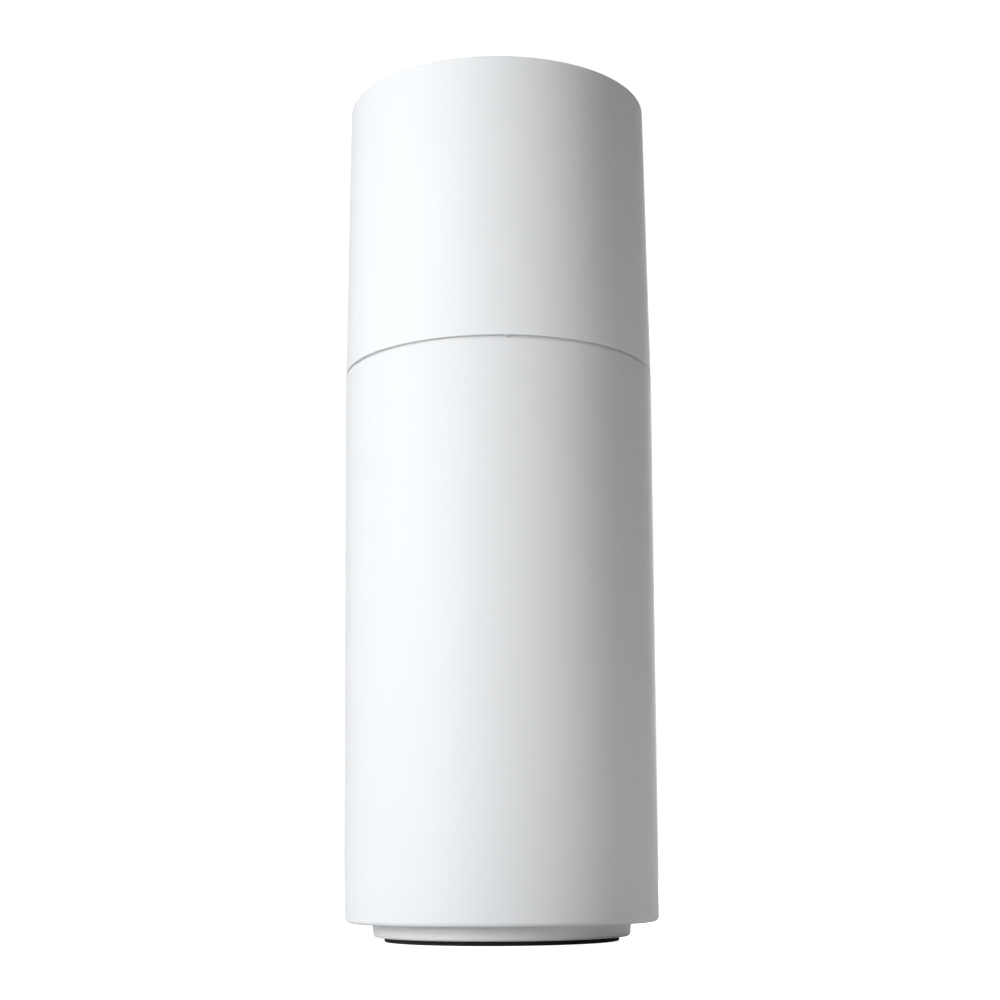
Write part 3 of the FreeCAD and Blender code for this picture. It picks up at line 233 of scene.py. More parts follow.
def filter_paper():
    """Matted fibre: long soft fibres in two directions and faint grey dust in patches."""
    material, tree, shader = new_material("filter_paper", Specular_IOR_Level=0.2, Sheen_Weight=0.15)
    along = noise(tree, 1500.0, 6.0, stretched(tree, (1.0, 1.0, 0.2)))
    across = noise(tree, 1100.0, 6.0, stretched(tree, (0.3, 0.3, 1.0)))
    fibres = add(tree, "ShaderNodeMath", {0: along, 1: across}, operation="MULTIPLY")
    colour = blend_colours(tree, noise(tree, 60.0, 4.0), (0.78, 0.77, 0.73), (0.88, 0.875, 0.85))
    gloss = spread(tree, fibres.outputs[0], 0.85, 0.98, 0.1, 0.4)
    wire(tree, shader, colour, gloss, bumped(tree, fibres.outputs[0], 0.06 * MM))
    return material


def carbon_foam():
    """Carbon granules held in foam, with painted shade in the gaps between granules."""
    material, tree, shader = new_material("carbon_foam", Specular_IOR_Level=0.35)
    cells = add(tree, "ShaderNodeTexVoronoi", {"Vector": place(tree), "Scale": 900.0})
    lumps = spread(tree, cells.outputs["Distance"], 1.0, 0.0, 0.0, 0.7)
    # painted shade: the colour goes from the granule tone at each lump's middle to near black in the gaps
    # between lumps, following the same lumps that raise the bump
    colour = blend_colours(tree, lumps, (0.008, 0.008, 0.009), (0.050, 0.050, 0.052))
    gloss = spread(tree, noise(tree, 2000.0, 3.0), 0.45, 0.9)
    wire(tree, shader, colour, gloss, bumped(tree, lumps, 0.35 * MM))
    return material


def net_fibre():
    """Knitted nylon strands: fine filaments along each strand."""
    material, tree, shader = new_material("net_fibre", Specular_IOR_Level=0.4, Sheen_Weight=0.2)
    filaments = noise(tree, 5000.0, 2.0, stretched(tree, (1.0, 1.0, 0.35)))
    colour = blend_colours(tree, noise(tree, 250.0, 3.0), (0.60, 0.63, 0.66), (0.74, 0.76, 0.78))
    wire(tree, shader, colour, spread(tree, filaments, 0.45, 0.7), bumped(tree, filaments, 0.03 * MM))
    return material


def circuit_board():
    """Solder resist with slightly raised tracks under it."""
    material, tree, shader = new_material("circuit_board", Coat_Weight=0.3, Coat_Roughness=0.2)
    tracks = add(tree, "ShaderNodeTexBrick", {
        "Vector": stretched(tree, (1.0, 1.0, 0.0)), "Scale": 260.0, "Mortar Size": 0.05,
        "Color1": (0, 0, 0, 1), "Color2": (0, 0, 0, 1), "Mortar": (1, 1, 1, 1)})
    share = add(tree, "ShaderNodeSeparateColor", {"Color": tracks.outputs["Color"]}).outputs["Red"]
    colour = blend_colours(tree, share, (0.010, 0.085, 0.035), (0.022, 0.150, 0.060))
    gloss = spread(tree, noise(tree, 500.0), 0.30, 0.42)
    wire(tree, shader, colour, gloss, bumped(tree, share, 0.03 * MM))
    return material


def wound_copper():
    """Enamelled copper wire, wound turn by turn, with painted shade in the grooves between turns."""
    material, tree, shader = new_material("wound_copper", Metallic=0.9, Coat_Weight=0.6, Coat_Roughness=0.25)
    turns = add(tree, "ShaderNodeTexWave", {
        "Vector": place(tree), "Scale": 420.0, "Distortion": 0.6, "Detail": 1.0}, bands_direction="DIAGONAL")
    # painted shade: the copper colour goes dark brown in the grooves between turns, following the same waves
    # that shape the bump
    colour = blend_colours(tree, turns.outputs["Fac"], (0.30, 0.09, 0.03), (0.80, 0.34, 0.14))
    gloss = spread(tree, noise(tree, 900.0), 0.25, 0.4)
    wire(tree, shader, colour, gloss, bumped(tree, turns.outputs["Fac"], 0.12 * MM))
    return material


def laminations():
    """Stacked electrical steel: a line every half millimetre."""
    material, tree, shader = new_material("laminations", Metallic=0.8)
    sheets = add(tree, "ShaderNodeTexWave", {"Vector": place(tree), "Scale": 310.0, "Distortion": 0.2},
                 bands_direction="Z")
    colour = blend_colours(tree, sheets.outputs["Fac"], (0.10, 0.10, 0.11), (0.34, 0.35, 0.37))
    gloss = spread(tree, noise(tree, 700.0, 3.0), 0.4, 0.6)
    wire(tree, shader, colour, gloss, bumped(tree, sheets.outputs["Fac"], 0.05 * MM))
    return material


def frosted():
    """A frosted light guide that is off."""
    material, tree, shader = new_material("frosted", Subsurface_Weight=0.4,
                                          Coat_Weight=0.2, Coat_Roughness=0.15)
    shader.inputs["Subsurface Radius"].default_value = (0.8 * MM, 0.8 * MM, 0.9 * MM)
    shader.inputs["Subsurface Scale"].default_value = 1.0
    colour = blend_colours(tree, noise(tree, 400.0, 3.0), (0.80, 0.83, 0.86), (0.88, 0.90, 0.92))
    gloss = spread(tree, noise(tree, 1200.0), 0.28, 0.40)
    wire(tree, shader, colour, gloss, bumped(tree, noise(tree, 6000.0), 0.004 * MM))
    return material


MATERIALS = {
    "casing": casing_white(),
    "plinth": moulded("plinth_grey", (0.87, 0.87, 0.87), 0.46),
    "seam": moulded("seam_grey", (0.84, 0.83, 0.82), 0.50),
    "vent": moulded("vent_grey", (0.62, 0.63, 0.645), 0.46),
    "inner": moulded("inner_white", (0.66, 0.665, 0.66), 0.50, grain=0.4 * MM, change=0.03),
    "fan": moulded("fan_black", (0.022, 0.023, 0.025), 0.40, grain=0.35 * MM, change=0.15),
    "chip": moulded("chip_black", (0.020, 0.020, 0.021), 0.55, grain=0.12 * MM, change=0.2),
    "lead_red": moulded("lead_red", (0.42, 0.020, 0.015), 0.38, grain=0.5 * MM, change=0.08),
    "lead_black": moulded("lead_black", (0.015, 0.015, 0.016), 0.38, grain=0.5 * MM, change=0.15),
    "foam": foam_black(),
    "steel": metal("plated_steel", (0.58, 0.58, 0.59), 0.30, (1.0, 1.0, 6.0)),
    "zinc": metal("zinc_plate", (0.52, 0.53, 0.55), 0.34),
    "nickel": metal("nickel_plate", (0.66, 0.64, 0.60), 0.24, change=0.03, depth=0.002 * MM),
    "ferrite": moulded("ferrite", (0.035, 0.035, 0.038), 0.62, grain=0.1 * MM, change=0.15),
    "paper": filter_paper(),
    "carbon": carbon_foam(),
    "net": net_fibre(),
    "board": circuit_board(),
    "copper": wound_copper(),
    "core": laminations(),
    "frosted": frosted(),
}

CARRIED_OVER = {
    "casing": ["control_panel"],
    "plinth": ["plinth"],
    "seam": ["head_base"],
    "vent": ["intake_grille"],
    "inner": ["seat_ring", "filter_bottom_cap", "filter_core", "filter_top_cap", "fan_duct", "stator_vanes",
              "motor_mount", "control_pod", "inlet_bracket"],
    "fan": ["impeller"],
    "chip": ["board_components", "tact_switch", "inlet_tongue"],
    "foam": ["filter_seat"],
    "steel": ["base_weight", "inlet_guard", "rotor_can", "motor_shaft", "shaft_clip", "shaft_bearings",
              "inlet_socket"],
    "zinc": ["plinth_screws", "grille_screws", "duct_screws", "motor_screws"],
    "nickel": ["base_magnets", "head_magnets"],
    "ferrite": ["rotor_magnet"],
    "carbon": ["carbon_sleeve"],
    "board": ["motor_board", "control_board", "inlet_board"],
    "copper": ["motor_coils"],
    "core": ["motor_core"],
}


def dress_frame():
    """Give each carried-over CAD node its material."""
    for material, nodes in CARRIED_OVER.items():
        for name in nodes:
            mesh = frame["nodes"][name].data
            mesh.materials.clear()
            mesh.materials.append(MATERIALS[material])


# ---------------------------------------------------------------- mesh helpers

def rounded(corners, steps=6):
    """A closed outline of (radius, height) points from (radius, height, rounding) corners."""
    points = []
    count = len(corners)
    for index, (x, z, radius) in enumerate(corners):
        corner = Vector((x, z))
        if radius <= 0:
            points.append(corner)
            continue
        before = Vector(corners[index - 1][:2])
        after = Vector(corners[(index + 1) % count][:2])
        back = (before - corner).normalized()
        ahead = (after - corner).normalized()
        turn = math.pi - back.angle(ahead)
        cut = radius * math.tan(turn / 2)
        centre = corner + (back + ahead).normalized() * (radius / math.cos(turn / 2))
        start = corner + back * cut - centre
        end = corner + ahead * cut - centre
        sweep = math.copysign(turn, start.x * end.y - start.y * end.x)
        for step in range(steps + 1):
            points.append(centre + Matrix.Rotation(sweep * step / steps, 2) @ start)
    return points


def lathe(mesh, outline, segments=192):
    """Turn a closed outline of (radius, height) about the Z axis."""
    angles = [2 * math.pi * index / segments for index in range(segments)]
    on_axis = 1e-7
    rings = []
    for radius, height in outline:
        if radius < on_axis:
            rings.append([mesh.verts.new((0, 0, height))] * segments)
            continue
        spots = [(radius * math.cos(angle), radius * math.sin(angle), height) for angle in angles]
        rings.append([mesh.verts.new(spot) for spot in spots])
    for ring, following in zip(rings, rings[1:] + rings[:1]):
        for index in range(segments):
            after = (index + 1) % segments
            corners = [ring[index], ring[after], following[after], following[index]]
            unique = list(dict.fromkeys(corners))
            if len(unique) > 2:
                mesh.faces.new(unique)


def block(mesh, low, high, edge=0.0, matrix=None):
    """A box between two corners, with its edges rounded."""
    low, high = Vector(low), Vector(high)
    made = bmesh.ops.create_cube(mesh, size=1.0)["verts"]
    for vert in made:
        vert.co = Vector(map(lambda share, a, b: a + (share + 0.5) * (b - a), vert.co, low, high))
    if edge > 0:
        edges = list({e for vert in made for e in vert.link_edges})
        bevelled = bmesh.ops.bevel(mesh, geom=edges, offset=edge, segments=3, profile=0.5, affect="EDGES")
        made = list({vert for vert in bevelled["verts"]} | {v for v in made if v.is_valid})
    if matrix is not None:
        bmesh.ops.transform(mesh, matrix=matrix, verts=made)


def tube(mesh, path, radius, sides=12, closed=False):
    """A round tube along a list of points."""
    points = [Vector(point) for point in path]
    count = len(points)
    rings = []
    side = None
    for index, point in enumerate(points):
        before = points[index - 1] if index or closed else point
        after = points[(index + 1) % count] if index + 1 < count or closed else point
        along = (after - before).normalized()
        if side is None:
            side = along.orthogonal().normalized()
        side = (side - along * side.dot(along)).normalized()
        up = along.cross(side)
        ring = []
        for step in range(sides):
            angle = 2 * math.pi * step / sides
            ring.append(mesh.verts.new(point + (side * math.cos(angle) + up * math.sin(angle)) * radius))
        rings.append(ring)
    pairs = list(zip(rings, rings[1:]))
    if closed:
        pairs.append((rings[-1], rings[0]))
    for ring, following in pairs:
        for step in range(sides):
            after = (step + 1) % sides
            mesh.faces.new((ring[step], ring[after], following[after], following[step]))
    if not closed:
        mesh.faces.new(list(reversed(rings[0])))
        mesh.faces.new(rings[-1])


def piece(name, mesh, material, body, nodes, stands_in=True, sharp=32.0):
    """Make the object of a mesh: smooth but for its sharp edges, riding on a body.

    It hides the CAD nodes that it stands for.
    """
    bmesh.ops.recalc_face_normals(mesh, faces=mesh.faces)
    for face in mesh.faces:
        face.smooth = True
    for edge in mesh.edges:
        if len(edge.link_faces) == 2:
            edge.smooth = edge.calc_face_angle(0.0) < math.radians(sharp)
    data = bpy.data.meshes.new(name)
    mesh.to_mesh(data)
    mesh.free()
    data.materials.append(MATERIALS[material])
    made = bpy.data.objects.new(name, data)
    bpy.context.scene.collection.objects.link(made)
    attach(made, body)
    if stands_in:
        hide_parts(*nodes)
    return made


def cut_with(made, mesh):
    """Cut a mesh's shape out of a piece."""
    data = bpy.data.meshes.new("cutter")
    bmesh.ops.recalc_face_normals(mesh, faces=mesh.faces)
    mesh.to_mesh(data)
    mesh.free()
    cutter = bpy.data.objects.new("cutter", data)
    bpy.context.scene.collection.objects.link(cutter)
    modifier = made.modifiers.new("cut", "BOOLEAN")
    modifier.operation = "DIFFERENCE"
    modifier.object = cutter
    modifier.solver = "EXACT"
    graph = bpy.context.evaluated_depsgraph_get()
    result = bpy.data.meshes.new_from_object(made.evaluated_get(graph))
    made.modifiers.clear()
    made.data = result
    bpy.data.objects.remove(cutter)


# ---------------------------------------------------------------- pieces of the base

def lower_casing():
    """The tall casing: rounded below, crisp at the seam, with its four screw blocks."""
    lug_inner, lug_half, lug_height = 45.1 * MM, 3.0 * MM, 14.0 * MM
    grille_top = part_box("intake_grille")[0].z + 3.0 * MM
    mesh = bmesh.new()
    lathe(mesh, rounded([
        (BOTTOM_RADIUS - WALL, SHELL_LOW.z, 0.4 * MM),
        (BOTTOM_RADIUS, SHELL_LOW.z, 1.8 * MM),
        (BODY_RADIUS, SHELL_HIGH.z, 0.25 * MM),
        (BODY_RADIUS - WALL, SHELL_HIGH.z, 0.3 * MM),
    ], 8), 256)
    for turn in range(4):
        block(mesh, (lug_inner, -lug_half, grille_top),
              (BOTTOM_RADIUS - WALL / 2, lug_half, grille_top + lug_height),
              0.5 * MM, Matrix.Rotation(turn * math.pi / 2, 4, "Z"))
    return piece("lower_casing", mesh, "casing", "base", ["lower_shell"])


def foot_disc():
    """The foam foot: soft edges, and rings pressed into its underside."""
    low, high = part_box("foot_pad")
    radius = high.x
    pitch, margin, plain_middle = 3.2 * MM, 2.4 * MM, 8.0 * MM
    groove_width, groove_slope, groove_depth = 1.0 * MM, 0.15 * MM, 0.3 * MM
    mouth_round, floor_round = 0.12 * MM, 0.08 * MM
    corners = [(0.0, high.z, 0.0), (radius, high.z, 0.15 * MM), (radius, low.z, 0.35 * MM)]
    edge = radius - margin
    while edge > plain_middle:
        corners += [(edge, low.z, mouth_round),
                    (edge - groove_slope, low.z + groove_depth, floor_round),
                    (edge - groove_width + groove_slope, low.z + groove_depth, floor_round),
                    (edge - groove_width, low.z, mouth_round)]
        edge -= pitch
    corners.append((0.0, low.z, 0.0))
    mesh = bmesh.new()
    lathe(mesh, rounded(corners, 3), 192)
    return piece("foot_disc", mesh, "foam", "base", ["foot_pad"])


# ---------------------------------------------------------------- pieces of the filter

def filter_pleats():
    """The pleated sheet: rounded folds that lean a little, on slightly uneven pitch."""
    low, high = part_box("filter_media")
    outer = high.x
    inner = 30 * MM
    sheet = 0.45 * MM
    pleats, steps, rows = 48, 16, 22
    roundness, wander_share = 0.85, 0.35
    sideways, outwards_on_flank = 0.9, 0.2
    most_shift, most_lean = 0.18, 0.25
    rng = random.Random(SEED)
    shift = [rng.uniform(-most_shift, most_shift) for _ in range(pleats)]
    lean = [rng.uniform(-most_lean, most_lean) for _ in range(pleats)]
    mesh = bmesh.new()
    grids = []
    for side in (1, -1):
        grid = []
        for row in range(rows + 1):
            z = low.z + (high.z - low.z) * row / rows
            sway = math.sin(math.pi * row / rows)
            ring = []
            for index in range(pleats * steps):
                pleat, step = divmod(index, steps)
                phase = 2 * math.pi * step / steps
                depth = 0.5 - 0.5 * math.cos(phase)
                fold = depth ** roundness
                radius = inner + sheet + (outer - inner - 2 * sheet) * fold
                wander = (shift[pleat] + lean[pleat] * sway) * math.sin(phase / 2) ** 2
                angle = 2 * math.pi * (pleat + step / steps + wander * wander_share) / pleats
                # the sheet's thickness points outwards at a fold and sideways on a flank
                across = math.sin(phase) * sideways
                offset = side * sheet / 2
                radius += offset * (1 if abs(across) < 0.5 else outwards_on_flank)
                angle -= offset * across / radius
                ring.append(mesh.verts.new((radius * math.cos(angle), radius * math.sin(angle), z)))
            grid.append(ring)
        grids.append(grid)
    count = pleats * steps
    for grid in grids:
        for lower, upper in zip(grid, grid[1:]):
            for index in range(count):
                after = (index + 1) % count
                mesh.faces.new((lower[index], lower[after], upper[after], upper[index]))
    for end in (0, rows):
        front, back = grids[0][end], grids[1][end]
        for index in range(count):
            after = (index + 1) % count
            mesh.faces.new((front[index], front[after], back[after], back[index]))
    return piece("filter_pleats", mesh, "paper", "filter", ["filter_media"], sharp=60.0)


def filter_net():
    """The net sleeve: two crossing sets of fine strands, hemmed at both ends."""
    low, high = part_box("prefilter_net")
    middle = high.x - 0.3 * MM
    strands, steps = 72, 40
    twist = math.radians(62)
    strand_radius, apart = 0.17 * MM, 0.10 * MM
    hem_half, hem_thick, hem_round = 0.6 * MM, 0.28 * MM, 0.15 * MM
    mesh = bmesh.new()
    for way in (1, -1):
        for strand in range(strands):
            start = 2 * math.pi * strand / strands
            path = []
            for step in range(steps + 1):
                share = step / steps
                angle = start + way * twist * share
                radius = middle + way * apart
                z = low.z + (high.z - low.z) * share
                path.append((radius * math.cos(angle), radius * math.sin(angle), z))
            tube(mesh, path, strand_radius, 5)
    for z in (low.z + hem_half, high.z - hem_half):
        lathe(mesh, rounded([
            (middle - hem_thick, z - hem_half, hem_round), (middle + hem_thick, z - hem_half, hem_round),
            (middle + hem_thick, z + hem_half, hem_round), (middle - hem_thick, z + hem_half, hem_round),
        ], 2))
    return piece("filter_net", mesh, "net", "filter", ["prefilter_net"])


def gasket_foam():
    """The soft gasket: a ring with a rounded top and a slightly uneven skin."""
    low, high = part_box("filter_gasket")
    inner = 40.5 * MM
    mesh = bmesh.new()
    lathe(mesh, rounded([(inner, low.z, 0.2 * MM), (high.x, low.z, 0.2 * MM), (high.x, high.z, 1.3 * MM),
                         (inner, high.z, 1.3 * MM)], 8), 192)
    most_sag = 0.03 * MM
    glued = low.z + 0.5 * MM
    rng = random.Random(SEED + 1)
    for vert in mesh.verts:
        if vert.co.z > glued:
            vert.co -= vert.co.normalized() * rng.uniform(0.0, most_sag)
    return piece("gasket_foam", mesh, "foam", "filter", ["filter_gasket"])


def bail_handle():
    """The folding handle: a ribbed round bar bent at two corners, with its pivots turned out."""
    low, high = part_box("filter_handle")
    z = (low.z + high.z) / 2
    half = (high.z - low.z) / 2
    reach = low.y + half
    half_width, bend = 29.3 * MM, 4 * MM
    span = half_width - half
    pivot_radius = 1.2 * MM
    rib_pitch, rib_radius, ribs_each_side = 2.4 * MM, 0.22 * MM, 6
    path = [Vector((-span, half * 0.4, z))]
    for sign in (-1, 1):
        centre = Vector((sign * (span - bend), reach + bend, z))
        for step in range(9):
            angle = math.pi / 2 * step / 8
            out, down = (math.cos(angle), math.sin(angle)) if sign < 0 else (math.sin(angle), math.cos(angle))
            path.append(centre + Vector((sign * bend * out, -bend * down, 0)))
    path.append(Vector((span, half * 0.4, z)))
    mesh = bmesh.new()
    tube(mesh, path, half * 0.98, 20)
    for sign in (-1, 1):
        pivot = [Vector((sign * (span - half * 0.2), 0, z)), Vector((sign * high.x, 0, z))]
        tube(mesh, pivot, pivot_radius, 20)
        bmesh.ops.create_icosphere(mesh, subdivisions=3, radius=half,
                                   matrix=Matrix.Translation((sign * span, 0, z)))
    for rib in range(-ribs_each_side, ribs_each_side + 1):
        x = rib * rib_pitch
        ring = [(x, reach + half * math.cos(angle), z + half * math.sin(angle))
                for angle in (2 * math.pi * step / 24 for step in range(24))]
        tube(mesh, ring, rib_radius, 8, closed=True)
    return piece("bail_handle", mesh, "vent", "handle", ["filter_handle"])


# ---------------------------------------------------------------- pieces of the head

def upper_casing():
    """The head's casing: tapered, with the grille's ledge, a snap groove, a nib and the inlet's slot."""
    mesh = bmesh.new()
    inner = TOP_RADIUS - WALL
    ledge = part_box("outlet_grille")[0].z
    ledge_width, ledge_height = 1.8 * MM, 1.6 * MM
    nib_left, nib_right = 2.4 * MM, 3.0 * MM
    snap = SPIGOT_RADIUS + 0.7 * MM
    snap_bottom, snap_top = SEAM_TOP + 3.4 * MM, SEAM_TOP + 5.0 * MM
    lathe(mesh, rounded([
        (SPIGOT_RADIUS, SEAM_TOP, 0.2 * MM),
        (SEAM_RADIUS, SEAM_TOP, 0.25 * MM),
        (TOP_RADIUS, HEAD_HIGH.z, 0.6 * MM),
        (inner, HEAD_HIGH.z, 0.4 * MM),
        (inner, ledge, 0.0),
        (inner - ledge_width, ledge, 0.2 * MM),
        (inner - ledge_width, ledge - ledge_height, 0.2 * MM),
        (inner, ledge - ledge_height, 0.0),
        (SPIGOT_RADIUS, SEAM_TOP + 7.5 * MM, 0.0),
        (SPIGOT_RADIUS, snap_top, 0.0),
        (snap, snap_top, 0.0),
        (snap, snap_bottom, 0.0),
        (SPIGOT_RADIUS, snap_bottom, 0.0),
    ], 6), 256)
    block(mesh, (nib_left, 0.35 * MM - SEAM_RADIUS, HEAD_LOW.z),
          (nib_right, 1.7 * MM - BODY_RADIUS, SEAM_TOP + 0.1 * MM), 0.12 * MM)
    made = piece("upper_casing", mesh, "casing", "head", ["upper_shell"])
    cut_with(made, inlet_cutter())
    return made


def lying_slot(half, radius, steps=12):
    """The outline of a lying slot with round ends, as (across, up) points."""
    points = []
    for end, start in ((1, -math.pi / 2), (-1, math.pi / 2)):
        for step in range(steps + 1):
            angle = start + math.pi * step / steps
            points.append((end * half + radius * math.cos(angle), radius * math.sin(angle)))
    return points


def inlet_cutter():
    """The slot round the power inlet, with a shallow chamfer at its mouth."""
    low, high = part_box("inlet_socket")
    z = (low.z + high.z) / 2
    half = (high.x - low.x - (high.z - low.z)) / 2
    clearance, flare = 0.25 * MM, 2 * MM
    radius = (high.z - low.z) / 2 + clearance
    inside, mouth = 45 * MM, BODY_RADIUS - 0.7 * MM
    mesh = bmesh.new()
    sections = []
    for y, reach in ((inside, radius), (mouth, radius), (mouth + flare, radius + flare)):
        sections.append([mesh.verts.new((x, y, z + up)) for x, up in lying_slot(half, reach)])
    count = len(sections[0])
    for section, following in zip(sections, sections[1:]):
        for index in range(count):
            after = (index + 1) % count
            mesh.faces.new((section[index], section[after], following[after], following[index]))
    mesh.faces.new(sections[0])
    mesh.faces.new(list(reversed(sections[-1])))
    return mesh


def outlet_fins():
    """The outlet: forty fins with rounded tops between a rim and a hub, tied by two rings."""
    low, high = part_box("outlet_grille")
    rim, rim_width = high.x, 1.8 * MM
    hub_inner, hub_recess, hub_outer = 16.4 * MM, 17.5 * MM, 19.8 * MM
    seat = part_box("control_panel")[0].z
    tie_width, tie_bottom, tie_top = 1.3 * MM, low.z + 1 * MM, high.z - 0.6 * MM
    fins, fin_half, fin_top = 40, 0.65 * MM, high.z - 0.3 * MM
    mesh = bmesh.new()
    lathe(mesh, rounded([(rim - rim_width, low.z, 0.2 * MM), (rim, low.z, 0.2 * MM), (rim, high.z, 0.35 * MM),
                         (rim - rim_width, high.z, 0.6 * MM)], 5))
    lathe(mesh, rounded([
        (hub_inner, low.z, 0.15 * MM), (hub_outer, low.z, 0.2 * MM), (hub_outer, high.z, 0.6 * MM),
        (hub_recess, high.z, 0.15 * MM), (hub_recess, seat, 0.0), (hub_inner, seat, 0.15 * MM)], 5))
    for inner in (28 * MM, 39 * MM):
        outer = inner + tie_width
        lathe(mesh, rounded([
            (inner, tie_bottom, 0.3 * MM), (outer, tie_bottom, 0.3 * MM),
            (outer, tie_top, 0.45 * MM), (inner, tie_top, 0.45 * MM)], 4), 160)
    for index in range(fins):
        block(mesh, (hub_outer - 0.5 * MM, -fin_half, low.z), (rim - 1.0 * MM, fin_half, fin_top),
              0.42 * MM, Matrix.Rotation(2 * math.pi * index / fins, 4, "Z"))
    return piece("outlet_fins", mesh, "vent", "head", ["outlet_grille"])


def light_band():
    """The frosted ring round the button, slightly crowned."""
    low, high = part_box("light_ring")
    inner = 8.6 * MM
    middle = (inner + high.x) / 2
    edge = high.z - 0.12 * MM
    mesh = bmesh.new()
    lathe(mesh, rounded([(inner, low.z, 0.0), (high.x, low.z, 0.0), (high.x, edge, 0.1 * MM),
                         (middle, high.z, 0.4 * MM), (inner, edge, 0.1 * MM)], 5), 128)
    return piece("light_band", mesh, "frosted", "head", ["light_ring"])


def button_cap():
    """The button: a dished cap with a flange and a stem."""
    low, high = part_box("power_button")
    stem, cap, flange = 1.5 * MM, 6.2 * MM, 7.8 * MM
    flange_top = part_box("control_panel")[0].z - 0.4 * MM
    flange_bottom = flange_top - 1.2 * MM
    brim, dish_depth = high.z - 0.02 * MM, 0.42 * MM
    dish = [(cap * share, brim - dish_depth * (1 - share ** 2), 0.0) for share in (0.86, 0.7, 0.5, 0.3, 0.15)]
    corners = [
        (0.0, low.z, 0.0), (stem, low.z, 0.2 * MM), (stem, flange_bottom, 0.2 * MM),
        (flange, flange_bottom, 0.2 * MM), (flange, flange_top, 0.2 * MM),
        (cap, flange_top, 0.1 * MM), (cap, high.z, 0.45 * MM), *dish, (0.0, brim - dish_depth, 0.0)]
    mesh = bmesh.new()
    lathe(mesh, rounded(corners, 5), 128)
    return piece("button_cap", mesh, "vent", "button", ["power_button"])


def button_mark():
    """A plain raised ring on the button, broken at the front by a short bar."""
    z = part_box("power_button")[1].z - 0.34 * MM
    radius, line = 2.2 * MM, 0.16 * MM
    gap = math.radians(34)
    steps = 40
    angles = [gap + (2 * math.pi - 2 * gap) * step / steps for step in range(steps + 1)]
    mesh = bmesh.new()
    tube(mesh, [(radius * math.sin(angle), -radius * math.cos(angle), z) for angle in angles], line, 8)
    tube(mesh, [(0, -radius * 1.25, z), (0, -radius * 0.45, z)], line, 8)
    return piece("button_mark", mesh, "casing", "button", ["control_panel"], stands_in=False)


def coil_spring():
    """The button's spring, a coil of round wire."""
    low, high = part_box("button_spring")
    wire_radius = 0.3 * MM
    radius = high.x - wire_radius
    turns, steps = 4, 160
    path = []
    for step in range(steps + 1):
        angle = 2 * math.pi * turns * step / steps
        z = low.z + wire_radius + (high.z - low.z - 2 * wire_radius) * step / steps
        path.append((radius * math.cos(angle), radius * math.sin(angle), z))
    mesh = bmesh.new()
    tube(mesh, path, wire_radius, 10)
    made = piece("coil_spring", mesh, "steel", "head", ["button_spring"])
    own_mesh(made)
    return made


def smooth_path(points, count=80):
    """Points along a smooth open curve through a route's control points."""
    curve = bpy.data.curves.new("route", "CURVE")
    curve.dimensions = "3D"
    spline = curve.splines.new("NURBS")
    spline.points.add(len(points) - 1)
    for target, point in zip(spline.points, points):
        target.co = (*point, 1.0)
    spline.order_u = 3
    spline.use_endpoint_u = True
    spline.resolution_u = count // len(points)
    made = bpy.data.objects.new("route", curve)
    bpy.context.scene.collection.objects.link(made)
    graph = bpy.context.evaluated_depsgraph_get()
    mesh = bpy.data.meshes.new_from_object(made.evaluated_get(graph))
    route = [vert.co.copy() for vert in mesh.vertices]
    bpy.data.objects.remove(made)
    return route


def twisted_strands(route, apart, radius, pitch, strands, body, node):
    """Insulated (name, material) strands twisted round a route, one piece each.

    The first stands for the CAD lead.
    """
    for number, (name, material) in enumerate(strands):
        mesh = bmesh.new()
        path = []
        travelled = 0.0
        side = None
        for index, point in enumerate(route):
            before = route[max(0, index - 1)]
            after = route[min(len(route) - 1, index + 1)]
            along = (after - before).normalized()
            travelled += (point - before).length
            side = side or along.orthogonal().normalized()
            side = (side - along * side.dot(along)).normalized()
            angle = 2 * math.pi * (travelled / pitch + number / len(strands))
            path.append(point + (side * math.cos(angle) + along.cross(side) * math.sin(angle)) * apart)
        tube(mesh, path, radius, 12)
        piece(name, mesh, material, body, [node], stands_in=number == 0)


def leads():
    """The twisted pair from the inlet and the three motor wires."""
    x, back, inner = 3.5 * MM, 44.9 * MM, 11 * MM
    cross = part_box("stator_vanes")[1].z + 8 * MM
    start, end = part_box("power_lead")[0].z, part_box("power_lead")[1].z
    route = [(x, back, start), (x, back, start + 12 * MM), (x, back, start + 28 * MM),
             (x, back, cross - 8 * MM), (x, back - 0.6 * MM, cross - 1 * MM), (x, back - 8 * MM, cross),
             (x, back - 17 * MM, cross), (x, inner + 8 * MM, cross),
             (x, inner + 1 * MM, cross + 0.6 * MM), (x, inner, cross + 8 * MM), (x, inner, end)]
    twisted_strands(smooth_path(route, 220), apart=0.5 * MM, radius=0.48 * MM, pitch=9 * MM,
                    strands=[("power_lead_red", "lead_red"), ("power_lead_black", "lead_black")],
                    body="head", node="power_lead")
    low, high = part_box("motor_lead")
    centre = (low + high) / 2
    steps = 90
    levels = [low.z + (high.z - low.z) * step / steps for step in range(steps + 1)]
    straight = [Vector((centre.x, centre.y, z)) for z in levels]
    twisted_strands(straight, apart=0.62 * MM, radius=0.5 * MM, pitch=11 * MM,
                    strands=[("motor_lead_red", "lead_red"), ("motor_lead_black", "lead_black"),
                             ("motor_lead_white", "inner")],
                    body="head", node="motor_lead")


# ---------------------------------------------------------------- stage

